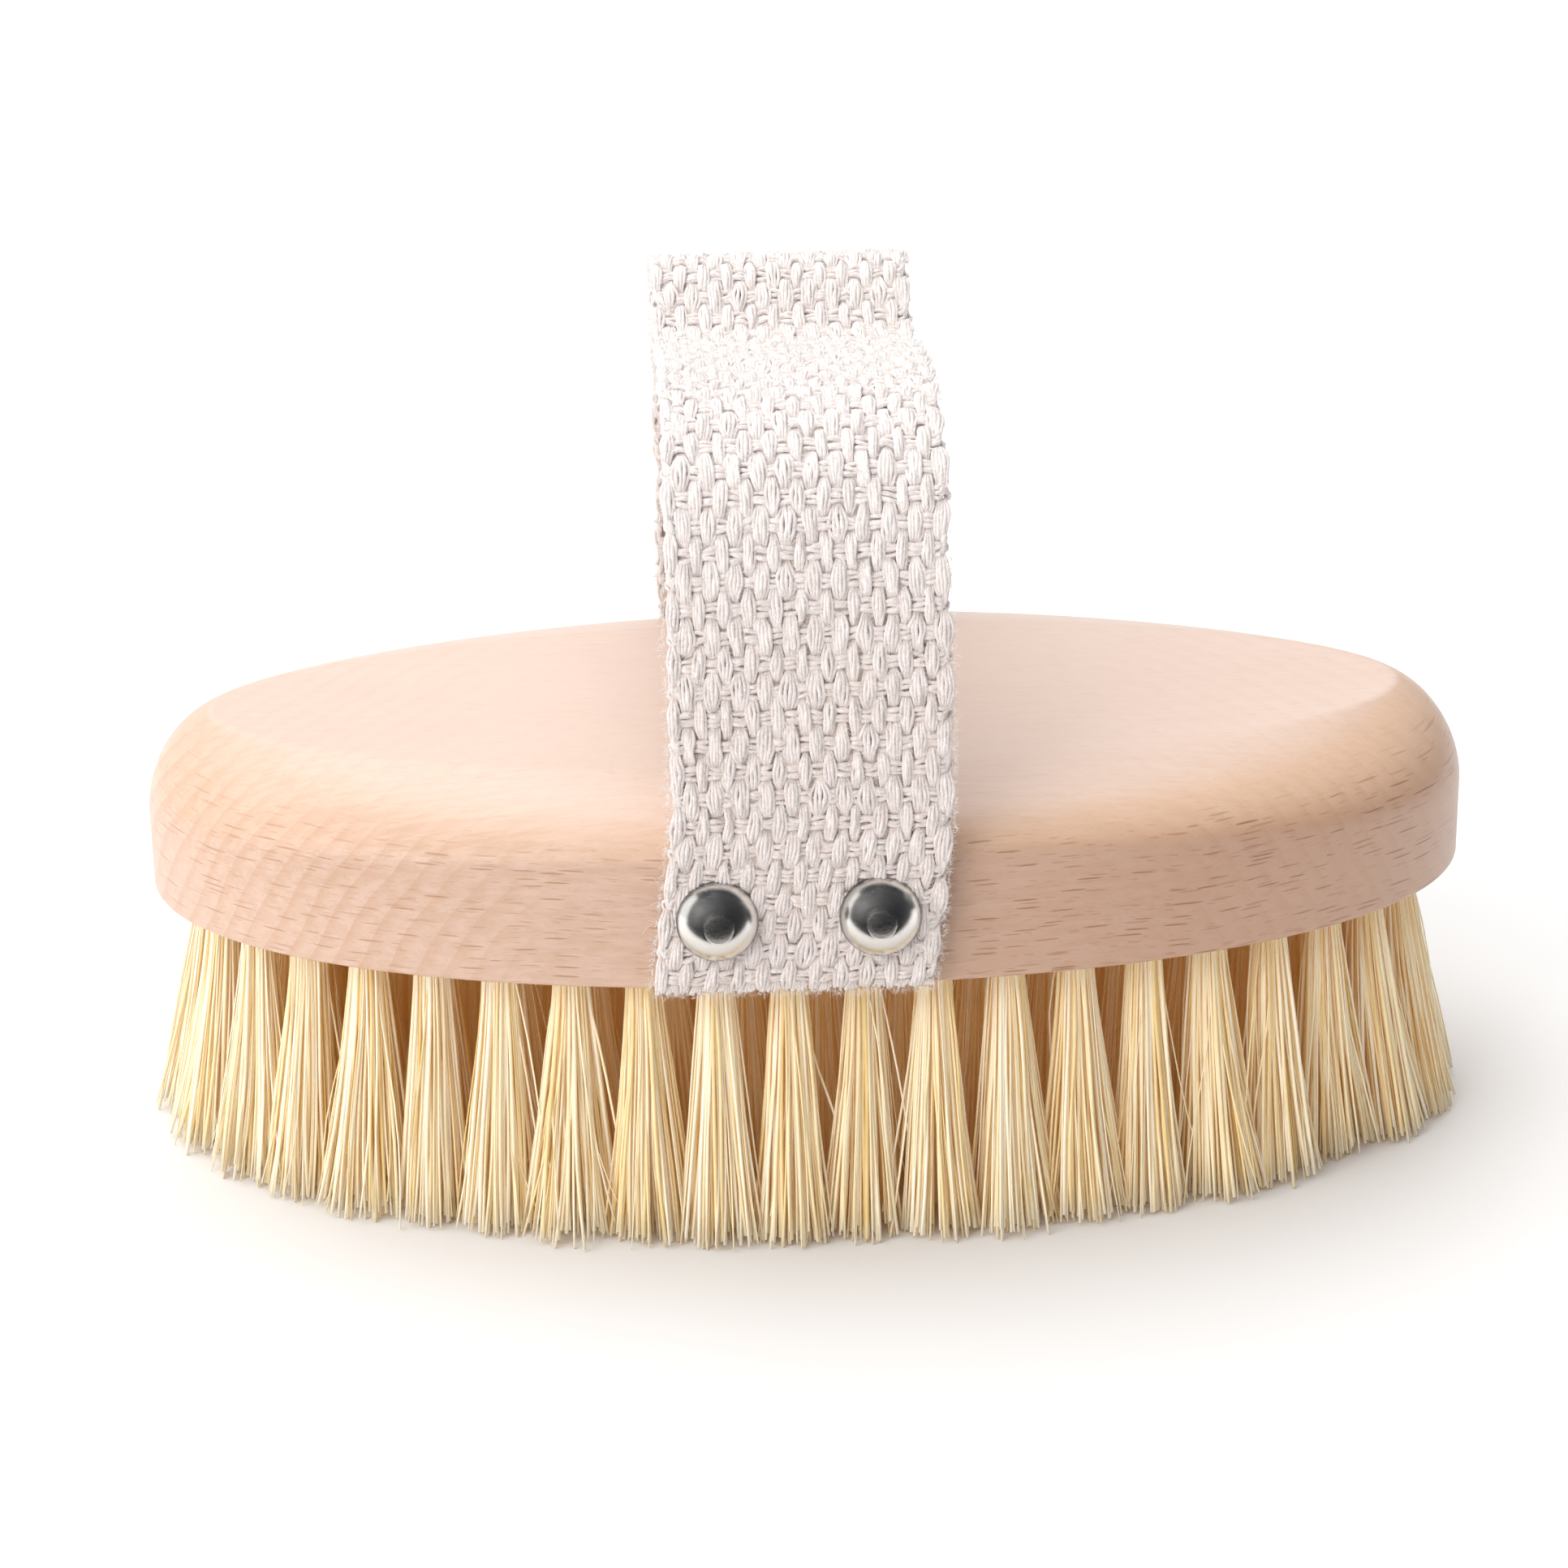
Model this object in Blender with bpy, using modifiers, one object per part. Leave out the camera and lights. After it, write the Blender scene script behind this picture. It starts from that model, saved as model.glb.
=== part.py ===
"""Body dry brush: an oval beech block, plant-fibre tufts set in drilled holes, and a nailed hand strap.

Metres, +Z up. X runs along the block and -Y is its front. The origin is under the
middle of the block, in the plane of the trimmed bristle tips, which is the floor.
"""

import math

import bmesh
import bpy
from mathutils import Matrix, Vector

MM = 0.001
FIT_GAP = 0.3 * MM

# The block: an oval, flat on top, with a wide soft shoulder along its sides.
BLOCK_HALF_LENGTH = 65.0 * MM
BLOCK_HALF_WIDTH = 34.5 * MM
BLOCK_THICKNESS = 17.0 * MM
OUTLINE_EXPONENT = 2.15
FLAT_INSET_END = 6.3 * MM
FLAT_INSET_SIDE = 12.3 * MM
FLAT_EXPONENT = 1.92
SHOULDER_DROP_END = 9.5 * MM
SHOULDER_DROP_SIDE = 4.6 * MM
BOTTOM_EASE = 0.5 * MM
BLOCK_SEGMENTS = 64
SHOULDER_STEPS = 6

# The bristles, from the block's underside down to the trimmed tips.
BRISTLE_LENGTH = 26.0 * MM
BLOCK_BOTTOM = BRISTLE_LENGTH
BLOCK_TOP = BLOCK_BOTTOM + BLOCK_THICKNESS
TUFT_HOLE_DEPTH = 6.0 * MM
TUFT_ROOT_RADIUS = 2.2 * MM
TUFT_TIP_RADIUS = 3.4 * MM
OUTER_LEAN = 3.2 * MM
OUTER_SIDES = 8
INNER_SIDES = 6
FAN_POWER = 1.2
OUTER_BANDS = (0.0, 0.45)
INNER_BANDS = (0.0,)

# Each row of tufts: the oval that its holes lie on, how many, and how far the tips lean out.
OUTER_ROW = (59.2 * MM, 29.6 * MM, 42)
SECOND_ROW = (51.4 * MM, 22.0 * MM, 32, 1.2 * MM)
THIRD_ROW = (43.6 * MM, 14.6 * MM, 26, 0.5 * MM)
FOURTH_ROW = (35.8 * MM, 7.5 * MM, 18, 0.0)
MIDDLE_ROW_COUNT = 5
MIDDLE_ROW_PITCH = 7.6 * MM
TIP_TIE_WIDTH = 1.6 * MM
TIP_TIE_BOTTOM = 1.0 * MM
TIP_TIE_TOP = 5.0 * MM
TIP_TIE_INSET = 1.2 * MM

# The strap: woven webbing, nailed to both sides of the block and standing in an arch.
STRAP_WIDTH = 25.4 * MM
STRAP_THICKNESS = 2.0 * MM
STRAP_SIDE = BLOCK_HALF_WIDTH + FIT_GAP + STRAP_THICKNESS / 2
STRAP_END_RISE = 0.8 * MM
STRAP_CENTRE = -1.35 * MM
STRAP_FRONT_DRIFT = -1.4 * MM
STRAP_SPAN_STEPS = 3

# The nails: a domed head on a short round shank.
NAIL_HEIGHT = BLOCK_BOTTOM + 7.8 * MM
NAIL_SPACING = 14.8 * MM
FRONT_NAILS_X = -2.7 * MM
REAR_NAILS_X = -1.1 * MM
NAIL_HEAD_RADIUS = 3.65 * MM
NAIL_DOME = 2.2 * MM
NAIL_RIM = 0.35 * MM
NAIL_SHANK_RADIUS = 1.0 * MM
NAIL_LENGTH = 10.0 * MM
NAIL_POINT = 1.8 * MM
NAIL_HOLE_RADIUS = NAIL_SHANK_RADIUS + FIT_GAP
NAIL_FACETS = 16
DOME_STEPS = 4


# ---------------------------------------------------------------- scene and materials


def clear_scene():
    for obj in list(bpy.data.objects):
        bpy.data.objects.remove(obj, do_unlink=True)


def new_collection(name, hidden=False):
    collection = bpy.data.collections.new(name)
    bpy.context.scene.collection.children.link(collection)
    collection.hide_render = hidden
    return collection


def material(name, colour, roughness, metallic=0.0):
    made = bpy.data.materials.new(name)
    made.use_nodes = True
    shader = made.node_tree.nodes["Principled BSDF"]
    shader.inputs["Base Color"].default_value = (*colour, 1.0)
    shader.inputs["Roughness"].default_value = roughness
    shader.inputs["Metallic"].default_value = metallic
    return made


def beech_material():
    return material("beech_wood", (0.80, 0.60, 0.45), 0.5)


def webbing_material():
    return material("cotton_webbing", (0.80, 0.76, 0.73), 0.95)


def nickel_material():
    return material("nickel_plated_steel", (0.72, 0.71, 0.69), 0.2, metallic=1.0)


def fibre_material():
    return material("tampico_fibre", (0.84, 0.68, 0.38), 0.65)


def add_object(name, mesh, collection, look=None, smooth_angle=None):
    obj = bpy.data.objects.new(name, mesh)
    collection.objects.link(obj)
    if look and not mesh.materials:
        mesh.materials.append(look)
    if smooth_angle is not None:
        mesh.shade_smooth()
        mesh.set_sharp_from_angle(angle=smooth_angle)
    return obj


def as_cutter(obj):
    obj.hide_render = True
    obj.display_type = "WIRE"
    return obj


def add_boolean(target, other, operation):
    modifier = target.modifiers.new(f"{operation.lower()}_{other.name}", "BOOLEAN")
    modifier.operation = operation
    modifier.solver = "EXACT"
    modifier.object = other


def mesh_from(bm, name):
    bmesh.ops.recalc_face_normals(bm, faces=bm.faces)
    mesh = bpy.data.meshes.new(name)
    bm.to_mesh(mesh)
    bm.free()
    return mesh


# ---------------------------------------------------------------- outlines and places


def oval_point(half_length, half_width, exponent, angle):
    """A point of the superellipse |x/a|^n + |y/b|^n = 1."""
    across, along = math.sin(angle), math.cos(angle)
    x = half_length * math.copysign(abs(along) ** (2 / exponent), along)
    y = half_width * math.copysign(abs(across) ** (2 / exponent), across)
    return x, y


def evenly_round_oval(half_length, half_width, count):
    """count places at equal steps of length round an ellipse, each with its outward direction."""
    steps = 2000
    points = [oval_point(half_length, half_width, 2, 2 * math.pi * i / steps) for i in range(steps + 1)]
    lengths = [0.0]
    for (x0, y0), (x1, y1) in zip(points, points[1:]):
        lengths.append(lengths[-1] + math.hypot(x1 - x0, y1 - y0))
    places = []
    i = 0
    for k in range(count):
        while lengths[i + 1] <= k * lengths[-1] / count:
            i += 1
        x, y = points[i]
        outward = math.atan2(y / half_width**2, x / half_length**2)
        places.append((x, y, outward))
    return places


def middle_row_places():
    middle = (MIDDLE_ROW_COUNT - 1) / 2
    return [((i - middle) * MIDDLE_ROW_PITCH, 0.0, 0.0) for i in range(MIDDLE_ROW_COUNT)]


# ---------------------------------------------------------------- the block


def block_ring(bm, level):
    """One closed ring of the loft. level is 0 at the foot of the shoulder and 1 at the flat top's edge."""
    turn = level * math.pi / 2
    inward = 1 - math.cos(turn)
    ring = []
    for i in range(BLOCK_SEGMENTS):
        angle = 2 * math.pi * i / BLOCK_SEGMENTS
        x0, y0 = oval_point(BLOCK_HALF_LENGTH, BLOCK_HALF_WIDTH, OUTLINE_EXPONENT, angle)
        x1, y1 = oval_point(
            BLOCK_HALF_LENGTH - FLAT_INSET_END, BLOCK_HALF_WIDTH - FLAT_INSET_SIDE, FLAT_EXPONENT, angle
        )
        side = math.sin(angle) ** 2
        drop = SHOULDER_DROP_END + (SHOULDER_DROP_SIDE - SHOULDER_DROP_END) * side
        z = BLOCK_TOP - drop * (1 - math.sin(turn))
        ring.append(bm.verts.new((x0 + (x1 - x0) * inward, y0 + (y1 - y0) * inward, z)))
    return ring


def flat_ring(bm, inset, z):
    ring = []
    for i in range(BLOCK_SEGMENTS):
        angle = 2 * math.pi * i / BLOCK_SEGMENTS
        x, y = oval_point(BLOCK_HALF_LENGTH - inset, BLOCK_HALF_WIDTH - inset, OUTLINE_EXPONENT, angle)
        ring.append(bm.verts.new((x, y, z)))
    return ring


def join_rings(bm, lower, upper):
    for i in range(len(lower)):
        j = (i + 1) % len(lower)
        bm.faces.new((lower[i], lower[j], upper[j], upper[i]))


def block_mesh():
    """A loft from the oval underside to the narrower flat top, which has a different outline."""
    bm = bmesh.new()
    rings = [
        flat_ring(bm, BOTTOM_EASE, BLOCK_BOTTOM),
        flat_ring(bm, 0.0, BLOCK_BOTTOM + BOTTOM_EASE),
    ]
    rings += [block_ring(bm, step / SHOULDER_STEPS) for step in range(SHOULDER_STEPS + 1)]
    for lower, upper in zip(rings, rings[1:]):
        join_rings(bm, lower, upper)
    bm.faces.new(rings[0])
    bm.faces.new(rings[-1])
    return mesh_from(bm, "brush_block")


def tuft_hole_cutter(cutters, name, places, sides):
    """Blind holes in the underside, one closed prism each, turned as their tufts are."""
    radius = TUFT_ROOT_RADIUS + FIT_GAP
    below = 2 * MM
    depth = TUFT_HOLE_DEPTH + below
    middle = BLOCK_BOTTOM - below + depth / 2
    bm = bmesh.new()
    for x, y, turned in places:
        where = Matrix.Translation((x, y, middle)) @ Matrix.Rotation(turned, 4, "Z")
        bmesh.ops.create_cone(
            bm, cap_ends=True, segments=sides, radius1=radius, radius2=radius, depth=depth, matrix=where
        )
    return as_cutter(add_object(name, mesh_from(bm, name), cutters))


def nail_hole_cutter(cutters):
    """Round holes for the shanks, from outside the strap to just past each nail's point."""
    start = BLOCK_HALF_WIDTH + STRAP_THICKNESS + 2 * MM
    end = nail_seat() - NAIL_LENGTH - FIT_GAP
    bm = bmesh.new()
    for _, x, side in nail_places():
        where = Matrix.Translation((x, side * (start + end) / 2, NAIL_HEIGHT)) @ Matrix.Rotation(
            math.pi / 2, 4, "X"
        )
        bmesh.ops.create_cone(
            bm,
            cap_ends=True,
            segments=NAIL_FACETS,
            radius1=NAIL_HOLE_RADIUS,
            radius2=NAIL_HOLE_RADIUS,
            depth=start - end,
            matrix=where,
        )
    return as_cutter(add_object("nail_holes", mesh_from(bm, "nail_holes"), cutters))


def add_block(parts, cutters, look, nail_holes, inner_places):
    block = add_object("brush_block", block_mesh(), parts, look, smooth_angle=math.radians(50))
    outer_places = evenly_round_oval(*OUTER_ROW)
    add_boolean(block, tuft_hole_cutter(cutters, "outer_tuft_holes", outer_places, OUTER_SIDES), "DIFFERENCE")
    add_boolean(block, tuft_hole_cutter(cutters, "inner_tuft_holes", inner_places, INNER_SIDES), "DIFFERENCE")
    add_boolean(block, nail_holes, "DIFFERENCE")


# ---------------------------------------------------------------- the tufts


def add_tuft_shape(bm, sides, bands, lean, where):
    """A bundle of bristles: straight in its hole, then fanning out and leaning along local +X to its tips.

    Its local origin is where it leaves the block, and bands are the depths of its extra edge rings.
    """
    top = TUFT_HOLE_DEPTH - FIT_GAP
    length = top + BRISTLE_LENGTH
    made = bmesh.ops.create_cone(
        bm,
        cap_ends=True,
        segments=sides,
        radius1=TUFT_ROOT_RADIUS,
        radius2=TUFT_ROOT_RADIUS,
        depth=length,
        matrix=Matrix.Translation((0, 0, top - length / 2)),
    )
    verts = set(made["verts"])
    for band in bands:
        faces = {face for vert in verts for face in vert.link_faces}
        edges = {edge for face in faces for edge in face.edges}
        cut = bmesh.ops.bisect_plane(
            bm,
            geom=list(verts | edges | faces),
            plane_co=(0, 0, -band * BRISTLE_LENGTH),
            plane_no=(0, 0, 1),
        )
        verts |= {item for item in cut["geom_cut"] if isinstance(item, bmesh.types.BMVert)}
    spread = TUFT_TIP_RADIUS / TUFT_ROOT_RADIUS - 1
    for vert in verts:
        down = min(1.0, max(0.0, -vert.co.z / BRISTLE_LENGTH))
        widen = 1 + spread * down**FAN_POWER
        vert.co.x = vert.co.x * widen + lean * down**FAN_POWER
        vert.co.y *= widen
        vert.co = where @ vert.co


def add_outer_tufts(parts, look):
    bm = bmesh.new()
    add_tuft_shape(bm, OUTER_SIDES, OUTER_BANDS, OUTER_LEAN, Matrix.Identity(4))
    mesh = mesh_from(bm, "outer_tuft")
    for number, (x, y, turned) in enumerate(evenly_round_oval(*OUTER_ROW), start=1):
        tuft = add_object(f"outer_tuft_{number:02d}", mesh, parts, look, smooth_angle=math.radians(50))
        tuft.location = (x, y, BLOCK_BOTTOM)
        tuft.rotation_euler.z = turned


def tip_of(place, lean):
    x, y, turned = place
    return Vector((x + lean * math.cos(turned), y + lean * math.sin(turned), 0.0))


def tip_tie_mesh(name, places, lean):
    """The fibres of neighbouring tufts mingle near the tips: one small bar between each two stands for them."""
    bm = bmesh.new()
    for first, second in zip(places, places[1:]):
        start, end = tip_of(first, lean), tip_of(second, lean)
        run = end - start
        middle = (start + end) / 2
        middle.z = (TIP_TIE_BOTTOM + TIP_TIE_TOP) / 2
        turn = Matrix.Rotation(math.atan2(run.y, run.x), 4, "Z")
        size = (run.length - 2 * TIP_TIE_INSET, TIP_TIE_WIDTH, TIP_TIE_TOP - TIP_TIE_BOTTOM)
        where = Matrix.Translation(middle) @ turn @ Matrix.Diagonal((*size, 1.0))
        bmesh.ops.create_cube(bm, size=1.0, matrix=where)
    return mesh_from(bm, name)


def add_joined_tufts(parts, cutters, look, name, places, lean):
    """A stretch of an inner row as one solid: its tufts, tied together near the tips."""
    bm = bmesh.new()
    for x, y, turned in places:
        where = Matrix.Translation((x, y, BLOCK_BOTTOM)) @ Matrix.Rotation(turned, 4, "Z")
        add_tuft_shape(bm, INNER_SIDES, INNER_BANDS, lean, where)
    row = add_object(name, mesh_from(bm, name), parts, look)
    ties = as_cutter(add_object(f"{name}_ties", tip_tie_mesh(f"{name}_ties", places, lean), cutters))
    add_boolean(row, ties, "UNION")


def add_oval_row(parts, cutters, look, name, row, stretches):
    """Splits one oval row into stretches of neighbouring tufts, named round from the right end."""
    half_length, half_width, count, lean = row
    places = evenly_round_oval(half_length, half_width, count)
    share = count / len(stretches)
    for i, stretch in enumerate(stretches):
        chosen = places[round(i * share) : round((i + 1) * share)]
        add_joined_tufts(parts, cutters, look, f"{name}_tufts_{stretch}", chosen, lean)
    return places


def add_inner_tufts(parts, cutters, look):
    """Returns every place that needs a hole."""
    quarters = ("rear_right", "rear_left", "front_left", "front_right")
    places = add_oval_row(parts, cutters, look, "second_row", SECOND_ROW, quarters)
    places += add_oval_row(parts, cutters, look, "third_row", THIRD_ROW, quarters)
    places += add_oval_row(parts, cutters, look, "fourth_row", FOURTH_ROW, ("rear", "front"))
    middle = middle_row_places()
    add_joined_tufts(parts, cutters, look, "middle_row_tufts", middle, 0.0)
    return places + middle


# ---------------------------------------------------------------- the strap


def strap_route():
    """The strap's middle line from its front end to its rear end, as (y, height above the block's underside)."""
    side = STRAP_SIDE / MM
    end = STRAP_END_RISE / MM
    shape = [
        (-side, end),
        (-side, 4.5),
        (-side, 9.0),
        (-side + 0.1, 15.0),
        (-34.7, 25.0),
        (-33.2, 34.0),
        (-31.0, 42.0),
        (-27.6, 48.2),
        (-22.0, 51.6),
        (-13.5, 52.3),
        (-5.0, 51.8),
        (3.0, 50.6),
        (8.6, 50.2),
        (12.0, 52.4),
        (15.2, 55.6),
        (19.6, 55.9),
        (25.5, 52.0),
        (30.6, 43.5),
        (34.2, 31.0),
        (side - 0.2, 19.0),
        (side, 9.0),
        (side, 4.5),
        (side, end),
    ]
    return [Vector((y * MM, BLOCK_BOTTOM + z * MM)) for y, z in shape]


def smooth_through(points, steps):
    """A Catmull-Rom curve through the points, with steps pieces in each span."""
    padded = [2 * points[0] - points[1], *points, 2 * points[-1] - points[-2]]
    curve = []
    for p0, p1, p2, p3 in zip(padded, padded[1:], padded[2:], padded[3:]):
        for i in range(steps):
            t = i / steps
            bend = (2 * p0 - 5 * p1 + 4 * p2 - p3) * t**2 + (3 * p1 - p0 - 3 * p2 + p3) * t**3
            curve.append((2 * p1 + (p2 - p0) * t + bend) / 2)
    curve.append(points[-1])
    return curve


def strap_centre(point):
    """The front end hangs a little to the left of the rest."""
    along, height = point
    low = max(0.0, 1 - (height - BLOCK_BOTTOM) / BLOCK_THICKNESS)
    return STRAP_CENTRE + (STRAP_FRONT_DRIFT * low if along < 0 else 0.0)


def add_strap(parts, look, nail_holes):
    """One ribbon of webbing, given its thickness by Solidify, with a hole for each shank."""
    route = smooth_through(strap_route(), STRAP_SPAN_STEPS)
    bm = bmesh.new()
    bmesh.ops.create_grid(bm, x_segments=1, y_segments=len(route) - 1, size=1.0)
    for vert in bm.verts:
        point = route[round((vert.co.y + 1) / 2 * (len(route) - 1))]
        vert.co = (strap_centre(point) + math.copysign(STRAP_WIDTH / 2, vert.co.x), point.x, point.y)
    strap = add_object("hand_strap", mesh_from(bm, "hand_strap"), parts, look)
    thicken = strap.modifiers.new("webbing_thickness", "SOLIDIFY")
    thicken.thickness = STRAP_THICKNESS
    thicken.offset = 0.0
    thicken.use_even_offset = True
    add_boolean(strap, nail_holes, "DIFFERENCE")


# ---------------------------------------------------------------- the nails


def nail_seat():
    """How far from the block's middle the underside of each nail head is."""
    return BLOCK_HALF_WIDTH + STRAP_THICKNESS + 2 * FIT_GAP


def nail_places():
    """Each nail's name, its x, and -1 for the front or +1 for the rear."""
    half = NAIL_SPACING / 2
    return [
        ("strap_nail_front_left", FRONT_NAILS_X - half, -1),
        ("strap_nail_front_right", FRONT_NAILS_X + half, -1),
        ("strap_nail_rear_left", REAR_NAILS_X - half, 1),
        ("strap_nail_rear_right", REAR_NAILS_X + half, 1),
    ]


def nail_profile():
    """(radius, height) down the outside, from the top of the dome to the point. The head's underside is at 0."""
    sphere = (NAIL_HEAD_RADIUS**2 + NAIL_DOME**2) / (2 * NAIL_DOME)
    widest = math.asin(NAIL_HEAD_RADIUS / sphere)
    centre = NAIL_RIM + NAIL_DOME - sphere
    dome = []
    for step in range(DOME_STEPS + 1):
        angle = widest * step / DOME_STEPS
        dome.append((sphere * math.sin(angle), centre + sphere * math.cos(angle)))
    return dome + [
        (NAIL_HEAD_RADIUS, 0.0),
        (NAIL_SHANK_RADIUS, 0.0),
        (NAIL_SHANK_RADIUS, NAIL_POINT - NAIL_LENGTH),
        (0.0, -NAIL_LENGTH),
    ]


def nail_mesh(look):
    mesh = bpy.data.meshes.new("strap_nail")
    profile = [(radius, 0.0, height) for radius, height in nail_profile()]
    edges = [(i, i + 1) for i in range(len(profile) - 1)]
    mesh.from_pydata(profile, edges, [])
    mesh.materials.append(look)
    return mesh


def add_nails(parts, look):
    mesh = nail_mesh(look)
    for name, x, side in nail_places():
        nail = add_object(name, mesh, parts)
        nail.location = (x, side * nail_seat(), NAIL_HEIGHT)
        nail.rotation_euler.x = -side * math.pi / 2
        turn = nail.modifiers.new("turned", "SCREW")
        turn.axis = "Z"
        turn.steps = NAIL_FACETS
        turn.render_steps = NAIL_FACETS
        turn.use_merge_vertices = True
        turn.merge_threshold = 0.01 * MM


# ---------------------------------------------------------------- the whole brush


def main():
    clear_scene()
    parts = new_collection("body_dry_brush")
    cutters = new_collection("cutters", hidden=True)
    fibre = fibre_material()
    nail_holes = nail_hole_cutter(cutters)
    inner_places = add_inner_tufts(parts, cutters, fibre)
    add_outer_tufts(parts, fibre)
    add_block(parts, cutters, beech_material(), nail_holes, inner_places)
    add_strap(parts, webbing_material(), nail_holes)
    add_nails(parts, nickel_material())


main()
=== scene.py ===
"""The body dry brush in its studio: beech block, woven cotton strap, domed nails and cut plant fibre.

Metres, +Z up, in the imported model's frame. X runs along the block, -Y is its front,
and Z = 0 is the plane of the trimmed bristle tips, which is the floor.
"""

import math

import bpy
import numpy as np
from mathutils import Matrix, Vector


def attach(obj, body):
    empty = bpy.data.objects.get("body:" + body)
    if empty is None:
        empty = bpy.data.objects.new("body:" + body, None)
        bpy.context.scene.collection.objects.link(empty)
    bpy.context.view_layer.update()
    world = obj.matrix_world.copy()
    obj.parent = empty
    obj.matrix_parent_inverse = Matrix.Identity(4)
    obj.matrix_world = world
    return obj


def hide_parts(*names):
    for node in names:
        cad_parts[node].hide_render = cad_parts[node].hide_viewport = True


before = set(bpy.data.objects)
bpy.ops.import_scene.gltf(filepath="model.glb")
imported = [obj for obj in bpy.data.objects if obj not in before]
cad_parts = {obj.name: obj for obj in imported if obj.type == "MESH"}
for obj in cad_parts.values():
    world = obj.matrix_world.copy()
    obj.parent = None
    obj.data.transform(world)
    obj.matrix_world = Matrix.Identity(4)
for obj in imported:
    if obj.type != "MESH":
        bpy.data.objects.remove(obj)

MM = 0.001
BODY = "root"
GOLDEN_ANGLE = math.pi * (3 - math.sqrt(5))
WANDER_WAVES = 5

# The block, as in the CAD: an oval, flat on top, with a wide soft shoulder.
BLOCK_HALF_LENGTH = 65.0 * MM
BLOCK_HALF_WIDTH = 34.5 * MM
BLOCK_BOTTOM = 26.0 * MM
BLOCK_TOP = 43.0 * MM
OUTLINE_EXPONENT = 2.15
FLAT_INSET_END = 6.3 * MM
FLAT_INSET_SIDE = 12.3 * MM
FLAT_EXPONENT = 1.92
SHOULDER_DROP_END = 9.5 * MM
SHOULDER_DROP_SIDE = 4.6 * MM
BOTTOM_EASE = 0.5 * MM
BLOCK_SEGMENTS = 320
SHOULDER_STEPS = 28
SHOULDER_TURN = math.radians(64)
EASE_STEPS = 4
CREASE_BAND = 0.5 * MM
GROWTH_RING = 3.2  # in millimetres, as the materials measure

# The tufts: where each row's holes lie, how many there are and how far the tips lean out.
TUFT_HOLE_DEPTH = 6.0 * MM
TUFT_HOLE_RADIUS = 2.35 * MM
HOLE_SIDES = 20
CUTTER_OVERSHOOT = 2.0 * MM
OUTER_ROW = (59.2 * MM, 29.6 * MM, 42, 3.2 * MM)
SECOND_ROW = (51.4 * MM, 22.0 * MM, 32, 1.2 * MM)
THIRD_ROW = (43.6 * MM, 14.6 * MM, 26, 0.5 * MM)
FOURTH_ROW = (35.8 * MM, 7.5 * MM, 18, 0.0)
MIDDLE_ROW_COUNT = 5
MIDDLE_ROW_PITCH = 7.6 * MM

# The fibres of one tuft.
OUTER_FIBRES = 190
INNER_FIBRES = 115
FIBRE_ROOT_RADIUS = 1.5228 * MM
FIBRE_TIP_RADIUS = 4.5 * MM
FIBRE_POINTS = 9
FIBRE_SIDES = 5
FIBRE_THIN = 0.06 * MM
FIBRE_THICK = 0.26 * MM
FIBRE_IN_HOLE = 3.0 * MM
FIBRE_BOW = (1.1, 1.5)
FIBRE_SWAY = 0.16 * MM
FIBRE_TAPER = 0.86
FIBRE_FLATNESS = 0.78
FIBRE_TONE = (0.6, 0.24)
DARK_SHARE = 0.1
DARK_TONE = 0.35
# The colour of a faint painted glow in the fibres, which stands in for light passing through them.
FIBRE_GLOW = (1.0, 0.52, 0.18, 1.0)

# How one tuft differs from the next: its fullness, depth and width, and the locks its tips gather into.
TUFT_FULLNESS = (0.92, 1.08)
TUFT_DEPTH = 0.9
TUFT_WIDTH = (0.98, 1.14)
TUFT_SHIFT = 0.3 * MM
LOCKS = 6
LOCK_SPREAD = 0.55
LOCK_PULL = 0.42
TIP_SCATTER = 0.22 * MM

# How far short of the floor the fibres are cut, and the strays that stand away from their tuft.
CUT_SCATTER = 0.5 * MM
SHORTER_CUT = 0.8 * MM
SHORTER_SHARE = 0.2
DEEPEST_CUT = 3.0 * MM
STRAY_SHARE = 0.06
STRAY_REACH = (0.7 * MM, 2.0 * MM)
STRAY_CUT = 1.6 * MM
STRAY_SWAY = 0.5 * MM
STRAY_THINNESS = 0.7

# The strap: its route is the middle line of the cloth.
STRAP_WIDTH = 25.4 * MM
STRAP_SIDE = 35.8 * MM
STRAP_CENTRE = -1.35 * MM
STRAP_FRONT_DRIFT = -1.95 * MM
STRAP_FRONT_SPREAD = 0.025
STRAP_STEPS = 24
YARN_SIDES = 6
STRAP_TAIL = 4.0 * MM
CUT_END_RAG = 0.3 * MM
CUT_LONGER = 0.2 * MM
CUT_SHORTER = 0.25 * MM
WARP_COLUMNS = 22
WARP_PITCH = 1.15 * MM
WARP_LIFT = 0.46 * MM
WARP_BIAS = 0.85
WARP_SQUARENESS = 2.6
WARP_GATHER = (0.42, 0.63)
WARP_WIDE = (5, 0.66 * MM)
WARP_NARROW = (4, 0.47 * MM)
WARP_DOME = 0.2 * MM
WARP_RADIUS = 0.2 * MM
WARP_SAMPLES = 8
WARP_PIECES = ("left", "middle_left", "middle_right", "right")
WEFT_PITCH = 2.45 * MM
WEFT_STRANDS = (-1, 0, 1)
WEFT_STRAND_STEP = 0.42 * MM
WEFT_RADIUS = 0.25 * MM
WEFT_LAYER = 0.24 * MM
WEFT_SWAY = 0.2 * MM
WEFT_SAMPLES = 3
WEFT_INSET = 0.8 * MM
WEFT_LOOP = 0.3 * MM
WEFT_LOOP_SHARE = 0.08
WEFT_TIGHTEST_TURN = 0.35 * MM

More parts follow.
